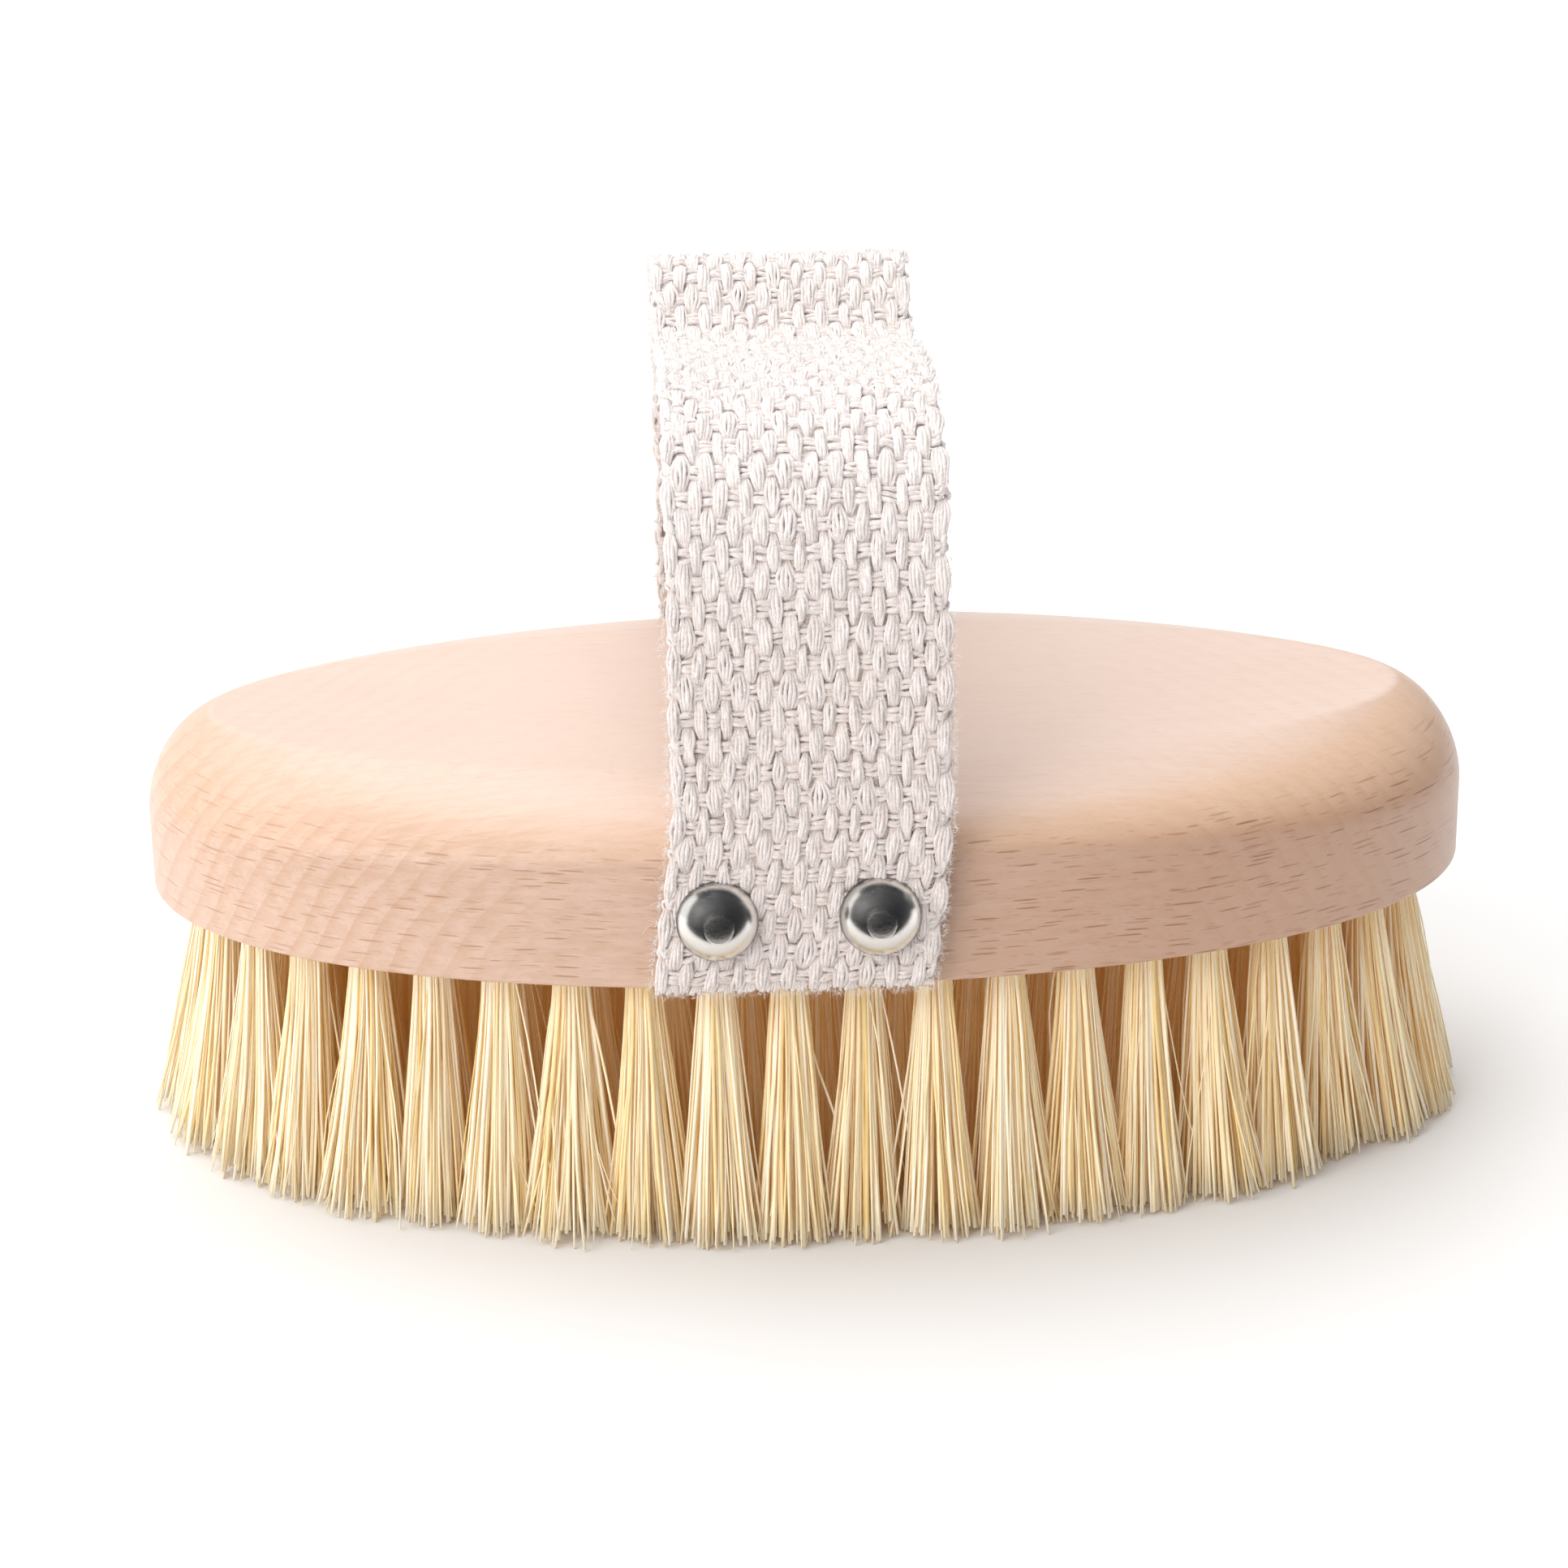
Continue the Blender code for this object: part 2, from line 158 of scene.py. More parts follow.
# How a yarn wanders along its length: by how much, and its longest and shortest waves.
WARP_UNEVEN = (0.16, 12 * MM, 4 * MM)
WARP_DRIFT = (0.07 * MM, 20 * MM, 6 * MM)
WARP_ROLL = (0.35, 11 * MM, 3.5 * MM)
WARP_PLUMPNESS = (0.1, 9 * MM, 3 * MM)
WARP_STRAND_DRIFT = (0.03 * MM, 5 * MM, 1.6 * MM)
WARP_LIFT_DRIFT = (0.05, 12 * MM, 4 * MM)
WARP_SWELLING = (0.1, 4 * MM, 0.9 * MM)
WEFT_DRIFT = (0.09 * MM, 6 * MM, 1.6 * MM)
WEFT_LIFT_DRIFT = (0.05 * MM, 5 * MM, 1.6 * MM)
WEFT_SWELLING = (0.16, 4 * MM, 1.0 * MM)

# The ribbon in the middle of the cloth, a dark sheet of painted shade for the gaps between the yarns, and
# the loose hairs on the cloth.
SHADE_SHEET_THICKNESS = 0.3 * MM
SHADE_SHEET_INSET = 0.5 * MM
SHADE_SHEET_STEPS = 400
FUZZ = {"outside_a": 9500, "outside_b": 9500, "outside_c": 9500, "inside": 3000, "edges": 6000}
FUZZ_RADIUS = 0.019 * MM
FUZZ_LENGTH = (0.5 * MM, 1.9 * MM)
FUZZ_LONG_SHARE = 0.08
FUZZ_EDGE_SHORTENING = 0.55
FUZZ_POINTS = 4

# The nails: a domed head on a round shank.
NAIL_HEIGHT = BLOCK_BOTTOM + 7.8 * MM
NAIL_SPACING = 14.8 * MM
FRONT_NAILS_X = -2.7 * MM
REAR_NAILS_X = -1.1 * MM
NAIL_SEAT = 36.5 * MM
NAIL_HEAD_RADIUS = 3.75 * MM
NAIL_HEAD_TILT = math.radians(7)
NAIL_DOME = 2.3 * MM
NAIL_RIM = 0.16 * MM
NAIL_SHANK_RADIUS = 1.0 * MM
NAIL_LENGTH = 10.0 * MM
NAIL_POINT = 1.8 * MM
NAIL_HOLE_GAP = 0.2 * MM
NAIL_HOLE_SPARE = 0.3 * MM
NAIL_SEGMENTS = 96
NAIL_PRESS_REACH = 4.4 * MM
NAIL_PRESS_SHARE = 0.32
NAIL_PRESS_DEPTH = 0.04 * MM
NAIL_RIM_INSET = 0.3 * MM
NAIL_TIP_RADIUS = 0.12 * MM
NAIL_MARK_RADIUS = 1.45 * MM
NAIL_MARK_WIDTH = 0.13 * MM
NAIL_MARK_DEPTH = 0.02 * MM

# The camera: where it stands and how long its lens is.
CAMERA_PLACE = (-0.0177, -0.3533, 0.1650)
CAMERA_PITCH = math.radians(69.56)
CAMERA_YAW = math.radians(-2.5)
CAMERA_ROLL = math.radians(-0.89)
CAMERA_LENS = 86.91

# The studio: brighter behind and to the left than in front and to the right.
FLOOR_REACH = 4.0
WORLD_BRIGHT_SIDE = Vector((-0.6, 0.55, 0.5)).normalized()
WORLD_TURN = 0.6
WORLD_DIM = 0.05
WORLD_BRIGHT = 1.0
LIGHT_AIM = (0.0, 0.0, 0.035)
# Each light's name, place, size, power in watts and colour.
LIGHTS = [
    ("key", (-0.95, -0.75, 0.6), (1.0, 0.9), 10.0, (1.0, 0.99, 0.975)),
    ("top", (-0.15, 0.3, 0.97), (1.1, 0.9), 6.8, (1.0, 1.0, 1.0)),
    ("front", (-0.2, -1.0, 1.0), (0.9, 0.6), 3.0, (1.0, 1.0, 1.0)),
]
# The black cards stand before the brush and reach over it, for the dark reflections in the nails.
CARD_LEFT, CARD_RIGHT = -0.16, 0.26
CARD_FRONT = -0.066
CARD_BOTTOM, CARD_TOP = 0.001, 0.2
CARD_OVER_BACK, CARD_OVER_TOP = 0.04, 0.21


# ------------ meshes from arrays


def new_object(name, mesh, look=None):
    made = bpy.data.objects.new(name, mesh)
    bpy.context.scene.collection.objects.link(made)
    if look:
        mesh.materials.append(look)
    return made


def mesh_of(name, points, faces, values=None):
    """A smooth mesh. faces is a list of integer arrays, a row a face, and values are vectors at points."""
    mesh = bpy.data.meshes.new(name)
    corners = np.concatenate([part.ravel() for part in faces]).astype(np.int32)
    sizes = np.concatenate([np.full(len(part), part.shape[1]) for part in faces])
    starts = np.concatenate([[0], np.cumsum(sizes)[:-1]]).astype(np.int32)
    mesh.vertices.add(len(points))
    mesh.vertices.foreach_set("co", points.astype(np.float32).ravel())
    mesh.loops.add(len(corners))
    mesh.loops.foreach_set("vertex_index", corners)
    mesh.polygons.add(len(starts))
    mesh.polygons.foreach_set("loop_start", starts)
    for key, rows in (values or {}).items():
        layer = mesh.attributes.new(key, "FLOAT_VECTOR", "POINT")
        layer.data.foreach_set("vector", rows.astype(np.float32).ravel())
    mesh.update(calc_edges=True)
    mesh.validate()
    mesh.shade_smooth()
    return mesh


def unit(vectors):
    return vectors / np.maximum(np.linalg.norm(vectors, axis=-1, keepdims=True), 1e-12)


def skin(rings, rising=False):
    """The points and faces of a closed surface over rings (rows, sides, 3), which go up if rising."""
    index = np.arange(rings.shape[0] * rings.shape[1]).reshape(rings.shape[:2])
    after = np.roll(index, -1, axis=1)
    corners = [index[:-1], index[1:], after[1:], after[:-1]]
    ends = [index[0], index[-1, ::-1]]
    if rising:
        corners = corners[:1] + corners[:0:-1]
        ends = [end[::-1] for end in ends]
    walls = np.stack(corners, -1).reshape(-1, 4)
    return rings.reshape(-1, 3), [walls, np.stack(ends)]


def tubes(paths, radii, sides, reference, flatness=1.0):
    """Closed tubes round paths (n, k, 3): their points and faces, and each point's turn round its tube."""
    count, steps, _ = paths.shape
    along = unit(np.gradient(paths, axis=1))
    side = unit(np.cross(along, reference))
    up = np.cross(side, along) * flatness
    turn = 2 * math.pi * np.arange(sides) / sides
    ring = np.cos(turn)[:, None] * side[:, :, None, :] + np.sin(turn)[:, None] * up[:, :, None, :]
    points = paths[:, :, None, :] + radii[:, :, None, None] * ring
    index = np.arange(count * steps * sides).reshape(count, steps, sides)
    after = np.roll(index, -1, axis=2)
    walls = np.stack([index[:, :-1], index[:, 1:], after[:, 1:], after[:, :-1]], -1).reshape(-1, 4)
    caps = np.concatenate([index[:, 0], index[:, -1, ::-1]])
    turns = np.broadcast_to(turn, (count, steps, sides))
    return points.reshape(-1, 3), [walls, caps], turns.ravel()


def round_tubes(paths, sides, *values):
    """Repeats each value known at the points of the paths for every point round their tubes."""
    return [np.repeat(np.broadcast_to(value, paths.shape[:2]).ravel(), sides) for value in values]


def wander(rng, count, along, amplitude, longest, shortest):
    """Smooth random drift of each of count lines along its length."""
    total = np.zeros((count, len(along)))
    for _ in range(WANDER_WAVES):
        wavelength = rng.uniform(shortest, longest, (count, 1))
        phase = rng.uniform(0, 2 * math.pi, (count, 1))
        total += np.sin(2 * math.pi * along[None, :] / wavelength + phase)
    return amplitude * total * math.sqrt(2 / WANDER_WAVES)


def finish_piece(piece, node):
    """The piece moves with the brush and stands for that CAD node, which is hidden."""
    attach(piece, BODY)
    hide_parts(node)


# ------------ materials


class Nodes:
    """Short ways to add nodes to a tree."""

    def __init__(self, tree):
        self.tree = tree

    def feed(self, socket, value):
        if isinstance(value, bpy.types.NodeSocket):
            self.tree.links.new(value, socket)
        elif value is not None:
            socket.default_value = value

    def node(self, kind, inputs=(), **settings):
        made = self.tree.nodes.new(kind)
        for key, value in settings.items():
            setattr(made, key, value)
        for key, value in dict(inputs).items():
            self.feed(made.inputs[key], value)
        return made

    def maths(self, operation, a, b=None, c=None, clamp=False):
        inputs = {0: a, 1: b, 2: c}
        return self.node("ShaderNodeMath", inputs, operation=operation, use_clamp=clamp).outputs[0]

    def times(self, a, b):
        return self.maths("MULTIPLY", a, b)

    def scaled(self, vector, factors):
        return self.vector("MULTIPLY", vector, factors)

    def split(self, vector):
        return self.node("ShaderNodeSeparateXYZ", {0: vector}).outputs

    def join(self, x, y, z):
        return self.node("ShaderNodeCombineXYZ", {0: x, 1: y, 2: z}).outputs[0]

    def vector(self, operation, a, b=None):
        made = self.node("ShaderNodeVectorMath", {0: a, 1: b}, operation=operation)
        return made.outputs["Value" if operation in ("LENGTH", "DOT_PRODUCT") else "Vector"]

    def between(self, value, low, high, to_low=0.0, to_high=1.0):
        """Goes smoothly from to_low to to_high while value goes from low to high."""
        inputs = {"Value": value, "From Min": low, "From Max": high, "To Min": to_low, "To Max": to_high}
        return self.node("ShaderNodeMapRange", inputs, interpolation_type="SMOOTHSTEP").outputs[0]

    def mix(self, factor, a, b):
        made = self.node("ShaderNodeMix", data_type="RGBA")
        self.feed(made.inputs[0], factor)
        self.feed(made.inputs[6], (*a, 1.0) if isinstance(a, tuple) else a)
        self.feed(made.inputs[7], (*b, 1.0) if isinstance(b, tuple) else b)
        return made.outputs[2]

    def noise(self, vector, scale=1.0, detail=2.0, roughness=0.5):
        inputs = {"Vector": vector, "Scale": scale, "Detail": detail, "Roughness": roughness}
        return self.node("ShaderNodeTexNoise", inputs).outputs[0]

    def hairs(self, place, scale, shift, width=0.1, levels=5.0):
        """Curly hairs: thin lines of equal height on a smooth noise."""
        field = self.noise(self.vector("ADD", place, shift), scale=scale, detail=0.6)
        step = self.maths("FRACT", self.times(field, levels))
        off_line = self.maths("ABSOLUTE", self.maths("SUBTRACT", step, 0.5))
        return self.between(off_line, width, width * 0.3)

    def millimetres(self):
        """The object's own coordinates in millimetres."""
        place = self.node("ShaderNodeTexCoord").outputs["Object"]
        return self.scaled(place, (1000, 1000, 1000))

    def attribute(self, name):
        made = self.node("ShaderNodeAttribute", attribute_name=name).outputs["Vector"]
        return self.split(made)

    def bump(self, height, distance, strength=1.0, under=None):
        inputs = {"Height": height, "Distance": distance, "Strength": strength, "Normal": under}
        return self.node("ShaderNodeBump", inputs).outputs[0]


class Look(Nodes):
    """One material's nodes."""

    def __init__(self, name):
        self.material = bpy.data.materials.new(name)
        self.material.use_nodes = True
        super().__init__(self.material.node_tree)
        self.shader = self.tree.nodes["Principled BSDF"]

    def finish(self, **inputs):
        for key, value in inputs.items():
            self.feed(self.shader.inputs[key.replace("_", " ")], value)
        return self.material


def ray_cells(look, place, cell, size, share):
    """Thin lens-shaped cells on an uneven lattice: 1 inside them, 0 outside, each of its own depth."""
    cells = look.scaled(place, tuple(1 / length for length in cell))
    ray = look.node("ShaderNodeTexVoronoi", {"Vector": cells, "Scale": 1.0}, feature="F1")
    off_centre = look.vector("SUBTRACT", cells, ray.outputs["Position"])
    spread = look.vector("LENGTH", look.scaled(off_centre, tuple(1 / length for length in size)))
    chance = look.node("ShaderNodeSeparateColor", {0: ray.outputs["Color"]}).outputs
    present = look.between(chance[0], 1 - share, 1.1 - share)
    depth = look.times(look.between(spread, 1.0, 0.65), present)
    return look.times(depth, look.between(chance[1], 0.0, 1.0, 0.5, 1.0))


def beech_look():
    """Pale steamed beech. Rings sweep up round both ends, and rays show as short dashes on the sides."""
    look = Look("beech")
    place = look.millimetres()
    x, y, z = look.split(place)
    normal = look.node("ShaderNodeNewGeometry").outputs["Normal"]
    facing_up = look.split(normal)[2]
    upright = look.between(facing_up, 0.97, 0.55)
    to_end = look.maths("ABSOLUTE", x)
    rightward = look.between(x, -40.0, 40.0)

    broad = look.noise(look.scaled(place, (0.012, 0.05, 0.05)), detail=3.0)
    bend = look.noise(look.scaled(place, (0.03, 0.04, 0.04)))
    rise = look.maths("MULTIPLY_ADD", z, 0.85, look.times(y, 0.6))
    swept = look.maths("MULTIPLY_ADD", bend, 9.0, look.maths("ADD", to_end, rise))
    growth = look.maths("FRACT", look.times(swept, 1 / GROWTH_RING))
    late_wood = look.times(look.between(growth, 0.35, 0.93), look.between(growth, 1.0, 0.95))
    ring_strength = look.between(rightward, 0, 1, 0.42, 0.3)
    ring_strength = look.times(look.between(to_end, 14.0, 46.0), ring_strength)
    ring_strength = look.times(ring_strength, look.between(facing_up, 0.6, 0.98, 1.0, 0.25))
    rings = look.times(late_wood, ring_strength)

    waved = look.noise(look.scaled(place, (0.05, 0.02, 0.05)), detail=1.0)
    lifted = look.maths("MULTIPLY_ADD", waved, 2.2, z)
    in_grain = look.join(x, y, lifted)
    long_rays = ray_cells(look, in_grain, (3.8, 15.0, 0.8), (0.38, 0.75, 0.125), 0.72)
    shifted = look.vector("ADD", in_grain, (7.3, 3.1, 1.7))
    short_rays = ray_cells(look, shifted, (1.9, 12.0, 0.5), (0.36, 0.75, 0.14), 0.5)
    rays = look.maths("MULTIPLY_ADD", short_rays, 0.5, long_rays, clamp=True)
    rays = look.times(rays, upright)
    # The rays' own darker colour, with painted shade that makes them darker still towards the right.
    shaded_ray_colour = look.mix(rightward, (0.46, 0.25, 0.145), (0.34, 0.165, 0.09))

    # Pores: fine short streaks along the grain.
    streak = look.noise(look.scaled(in_grain, (0.45, 6.0, 6.0)), detail=3.0, roughness=0.65)
    pores = look.between(streak, 0.5, 0.72)
    fibre = look.noise(look.scaled(in_grain, (0.1, 1.5, 1.5)), detail=3.0)

    colour = look.mix(look.between(broad, 0.3, 0.7), (0.645, 0.445, 0.34), (0.585, 0.385, 0.28))
    colour = look.mix(look.between(fibre, 0.35, 0.65, 0.0, 0.5), colour, (0.69, 0.495, 0.40))
    # Painted shade: where the surface turns down over the shoulder it is a deeper orange, more so towards
    # the right.
    shoulder = look.times(look.between(facing_up, 0.12, 0.55), look.between(facing_up, 1.0, 0.9))
    painted_shoulder_shade = look.times(shoulder, look.between(rightward, 0.0, 1.0, 0.2, 0.5))
    colour = look.mix(painted_shoulder_shade, colour, (0.68, 0.435, 0.265))
    # Painted shade: the upright sides darken towards the right end, away from the key light.
    painted_right_shade = look.times(look.between(x, -15.0, 45.0), look.between(facing_up, 0.9, 0.3))
    colour = look.mix(look.times(painted_right_shade, 0.7), colour, (0.53, 0.305, 0.20))
    # Painted sheen: the flat top is paler and greyer, as if it reflected the bright room.
    colour = look.mix(look.between(facing_up, 0.9, 1.0, 0.0, 0.6), colour, (0.69, 0.535, 0.455))
    colour = look.mix(rings, colour, (0.53, 0.30, 0.18))
    colour = look.mix(look.times(pores, 0.3), colour, (0.48, 0.27, 0.165))
    colour = look.mix(look.times(rays, 0.9), colour, shaded_ray_colour)

    rough = look.maths("MULTIPLY_ADD", fibre, 0.12, 0.32)
    height = look.maths("ADD", look.times(pores, -0.5), look.times(rays, -1.0))
    normal = look.bump(height, 0.03 * MM, 0.6)
    return look.finish(
        Base_Color=colour, Roughness=rough, Normal=normal, Coat_Weight=0.3, Coat_Roughness=0.35
    )


def felted(look, colour):
    """The colour with loose hairs lying over it in every direction, and the height of the hairs."""
    place = look.millimetres()
    white = look.hairs(place, 1.1, (0.0, 3.0, 7.0))
    white = look.maths("MAXIMUM", white, look.hairs(place, 1.6, (19.0, 5.0, 2.0)))
    brown = look.hairs(place, 1.3, (8.0, 31.0, 4.0), 0.09, 4.0)
    colour = look.mix(look.times(brown, 0.42), colour, (0.66, 0.555, 0.50))
    colour = look.mix(look.times(white, 0.55), colour, (0.97, 0.935, 0.925))
    return colour, look.maths("ADD", white, look.times(brown, 0.5))


def cotton_look():
    """Soft spun yarn. Its yarn attribute holds a point's way along it (mm), its turn and its number."""
    look = Look("cotton_yarn")
    along, turn, number = look.attribute("yarn")
    depth, tone, _ = look.attribute("lie")
    twisted = look.maths("MULTIPLY_ADD", along, 0.5, turn)
    spun = look.join(along, twisted, number)
    strands = look.noise(look.scaled(spun, (1.6, 2.4, 3.0)), detail=4.0, roughness=0.75)
    patches = look.noise(look.scaled(spun, (0.12, 0.2, 5.0)))
    colour = look.mix(look.between(patches, 0.3, 0.7), (0.915, 0.845, 0.825), (0.86, 0.78, 0.755))
    height = look.split(look.millimetres())[2]
    # Painted light: the yarn goes from darker low on the block to paler at the top of the strap, where the
    # lamps fall strongest.
    colour = look.mix(look.between(height, 52.0, 80.0, 0.9, 0.0), colour, (0.75, 0.655, 0.625))
    # Painted shade: where a yarn dives under its neighbours it is darker and browner, less so near the top
    # of the strap.
    shaded = look.between(height, 50.0, 74.0, 0.8, 0.05)
    painted_recess_shade = look.times(look.between(depth, 0.75, 0.05), shaded)
    colour = look.mix(painted_recess_shade, colour, (0.72, 0.585, 0.52))
    colour = look.mix(look.between(strands, 0.35, 0.75, 0.0, 0.4), colour, (0.97, 0.925, 0.915))
    colour = look.mix(look.between(strands, 0.5, 0.3, 0.0, 0.6), colour, (0.70, 0.60, 0.55))
    colour = look.mix(look.times(tone, 0.6), colour, (0.76, 0.675, 0.635))
    colour, raised = felted(look, colour)
    return look.finish(
        Base_Color=colour,
        Roughness=1.0,
        Normal=look.bump(look.maths("ADD", raised, strands), 0.035 * MM, 0.8),
        Sheen_Weight=0.8,
        Sheen_Roughness=0.5,
        Specular_IOR_Level=0.15,
    )


def cotton_shade_sheet_look():
    """Painted shade: a dark brownish colour for what shows between the yarns, paler towards the top of the
    strap.
    """
    look = Look("cotton_shade_sheet")
    patches = look.between(look.noise(look.millimetres(), scale=1.3, detail=4.0), 0.35, 0.65)
    colour = look.mix(patches, (0.52, 0.40, 0.34), (0.74, 0.63, 0.56))
    height = look.split(look.millimetres())[2]
    # Painted light: the sheet is paler near the top of the strap.
    colour = look.mix(look.between(height, 60.0, 76.0, 0.0, 0.9), colour, (0.93, 0.88, 0.86))
    colour, raised = felted(look, colour)
    return look.finish(Base_Color=colour, Roughness=1.0, Normal=look.bump(raised, 0.05 * MM, 0.8))


def fuzz_look():
    """Loose hairs, most of them white and some of them the brown of the seed."""
    look = Look("cotton_fuzz")
    patches = look.noise(look.millimetres(), scale=1.7)
    colour = look.mix(look.between(patches, 0.5, 0.65, 0.0, 0.8), (0.96, 0.94, 0.93), (0.72, 0.58, 0.49))
    return look.finish(Base_Color=colour, Roughness=0.9, Sheen_Weight=0.3, Specular_IOR_Level=0.2)


def plant_fibre_look():
    """Tampico. Its fibre attribute holds how far down a point is (0 to 1), its tone and its number."""
    look = Look("plant_fibre")
    down, tone, number = look.attribute("fibre")
    drawn = look.join(down, number, tone)
    streak = look.noise(look.scaled(drawn, (5.0, 40.0, 3.0)), detail=3.0, roughness=0.6)
    shade = look.maths("MULTIPLY_ADD", look.maths("SUBTRACT", streak, 0.5), 0.7, tone)
    ramp = look.node("ShaderNodeValToRGB", {0: shade})
    stops = [
        (0.0, (0.82, 0.61, 0.25)),
        (0.25, (0.91, 0.74, 0.42)),
        (0.55, (0.94, 0.83, 0.58)),
        (1.0, (0.96, 0.90, 0.75)),
    ]
    for i, (at, colour) in enumerate(stops):
        stop = ramp.color_ramp.elements[i] if i < 2 else ramp.color_ramp.elements.new(at)
        stop.position = at
        stop.color = (*colour, 1.0)
    # Painted shade: the fibres are darker and more golden towards their roots, deep in the tufts.
    colour = look.mix(look.between(down, 0.45, 0.0, 0.0, 0.3), ramp.outputs[0], (0.90, 0.73, 0.44))
    colour = look.mix(look.between(down, 0.93, 1.0, 0.0, 0.35), colour, (0.94, 0.88, 0.76))
    rough = look.maths("MULTIPLY_ADD", streak, 0.2, 0.38)
    return look.finish(
        Base_Color=colour,
        Roughness=rough,
        Normal=look.bump(streak, 0.03 * MM, 0.5),
        Specular_IOR_Level=0.4,
        # Painted light: the fibres glow faintly orange, more towards the roots, in place of light passing
        # through them.
        Emission_Color=FIBRE_GLOW,
        Emission_Strength=look.between(down, 0.9, 0.0, 0.025, 0.045),
    )


def nickel_look():
    """Polished nickel with hair scratches and a worn round die mark in the middle of the head."""
    look = Look("nickel")
    place = look.millimetres()
    x, y, z = look.split(place)
    flat = look.join(x, y, 0.0)
    from_axis = look.vector("LENGTH", flat)
    marked = look.times(look.between(from_axis, 1.45, 1.2), look.between(z, 1.5, 2.0))
    dents = look.noise(flat, scale=2.6, detail=4.0, roughness=0.7)
    scratches = look.noise(look.scaled(place, (1.2, 14.0, 5.0)), detail=4.0, roughness=0.75)
    height = look.times(dents, marked)
    normal = look.bump(height, 0.06 * MM, 0.8, look.bump(scratches, 0.006 * MM, 0.5))
    tint = look.mix(look.between(scratches, 0.4, 0.7, 0.0, 0.3), (0.83, 0.81, 0.78), (0.72, 0.70, 0.67))
    tint = look.mix(look.times(marked, 0.55), tint, (0.36, 0.35, 0.34))
    # Painted shade: a dark ring round the rim of the head, where it meets the cloth.
    tint = look.mix(look.between(from_axis, 3.45, 3.72, 0.0, 0.8), tint, (0.16, 0.155, 0.15))
    rough = look.maths("MULTIPLY_ADD", marked, 0.1, look.between(scratches, 0.35, 0.75, 0.16, 0.28))
    return look.finish(Base_Color=tint, Metallic=1.0, Roughness=rough, Normal=normal)


def floor_look():
    look = Look("pale_floor")
    away = look.vector("LENGTH", look.node("ShaderNodeTexCoord").outputs["Object"])
    # Painted shadow: the floor is greyer close to the brush, from 0.05 m out, and pale beyond 0.2 m.
    colour = look.mix(look.between(away, 0.05, 0.2), (0.78, 0.775, 0.77), (0.92, 0.92, 0.92))
    return look.finish(Base_Color=colour, Roughness=0.9, Specular_IOR_Level=0.1)


# ------------ outlines and places


def oval_points(half_length, half_width, exponent, angles):
    """Points of the superellipse |x/a|^n + |y/b|^n = 1."""
    across, along = np.sin(angles), np.cos(angles)
    x = half_length * np.sign(along) * np.abs(along) ** (2 / exponent)
    y = half_width * np.sign(across) * np.abs(across) ** (2 / exponent)
    return x, y


def evenly_round_oval(half_length, half_width, count):
    """count places at equal steps of length round an ellipse, each with its outward direction."""
    angles = np.linspace(0, 2 * math.pi, 2001)
    x, y = oval_points(half_length, half_width, 2, angles)
    lengths = np.concatenate([[0], np.cumsum(np.hypot(np.diff(x), np.diff(y)))])
    at = np.arange(count) * lengths[-1] / count
    x = np.interp(at, lengths, x)
    y = np.interp(at, lengths, y)
    outward = np.arctan2(y / half_width**2, x / half_length**2)
    return list(zip(x, y, outward))


def middle_row_places():
    middle = (MIDDLE_ROW_COUNT - 1) / 2
    return [((i - middle) * MIDDLE_ROW_PITCH, 0.0, 0.0) for i in range(MIDDLE_ROW_COUNT)]


# ------------ the block


def block_rings():
    """Rings of the block's surface, from its underside to its flat top."""
    angles = 2 * math.pi * np.arange(BLOCK_SEGMENTS) / BLOCK_SEGMENTS
    side = np.sin(angles) ** 2
    drop = SHOULDER_DROP_END + (SHOULDER_DROP_SIDE - SHOULDER_DROP_END) * side
    outer = oval_points(BLOCK_HALF_LENGTH, BLOCK_HALF_WIDTH, OUTLINE_EXPONENT, angles)
    flat_length = BLOCK_HALF_LENGTH - FLAT_INSET_END
    flat_width = BLOCK_HALF_WIDTH - FLAT_INSET_SIDE
    inner = oval_points(flat_length, flat_width, FLAT_EXPONENT, angles)

    def ring(x, y, z):
        return np.stack([x, y, np.broadcast_to(z, x.shape)], -1)

    rings = []
    for turn in np.linspace(0, math.pi / 2, EASE_STEPS + 1):
        inset = BOTTOM_EASE * (1 - math.sin(turn))
        x, y = oval_points(BLOCK_HALF_LENGTH - inset, BLOCK_HALF_WIDTH - inset, OUTLINE_EXPONENT, angles)
        rings.append(ring(x, y, BLOCK_BOTTOM + BOTTOM_EASE * (1 - math.cos(turn))))
    for turn in np.linspace(0, SHOULDER_TURN, SHOULDER_STEPS + 1):
        inward = (1 - math.cos(turn)) / (1 - math.cos(SHOULDER_TURN))
        rise = math.sin(turn) / math.sin(SHOULDER_TURN)
        x = outer[0] + (inner[0] - outer[0]) * inward
        y = outer[1] + (inner[1] - outer[1]) * inward
        rings.append(ring(x, y, BLOCK_TOP - drop * (1 - rise)))
    x, y = oval_points(flat_length - CREASE_BAND, flat_width - CREASE_BAND, FLAT_EXPONENT, angles)
    rings.append(ring(x, y, BLOCK_TOP))
    return np.array(rings)


def pegs(name, ends, radius):
    """Closed round pegs, each from one end to the other, to cut holes with."""
    paths = np.array(ends)
    reference = unit(np.array([0.31, 0.17, 0.05]))
    points, faces, _ = tubes(paths, np.full(paths.shape[:2], radius), HOLE_SIDES, reference)
    return new_object(name, mesh_of(name, points, faces))


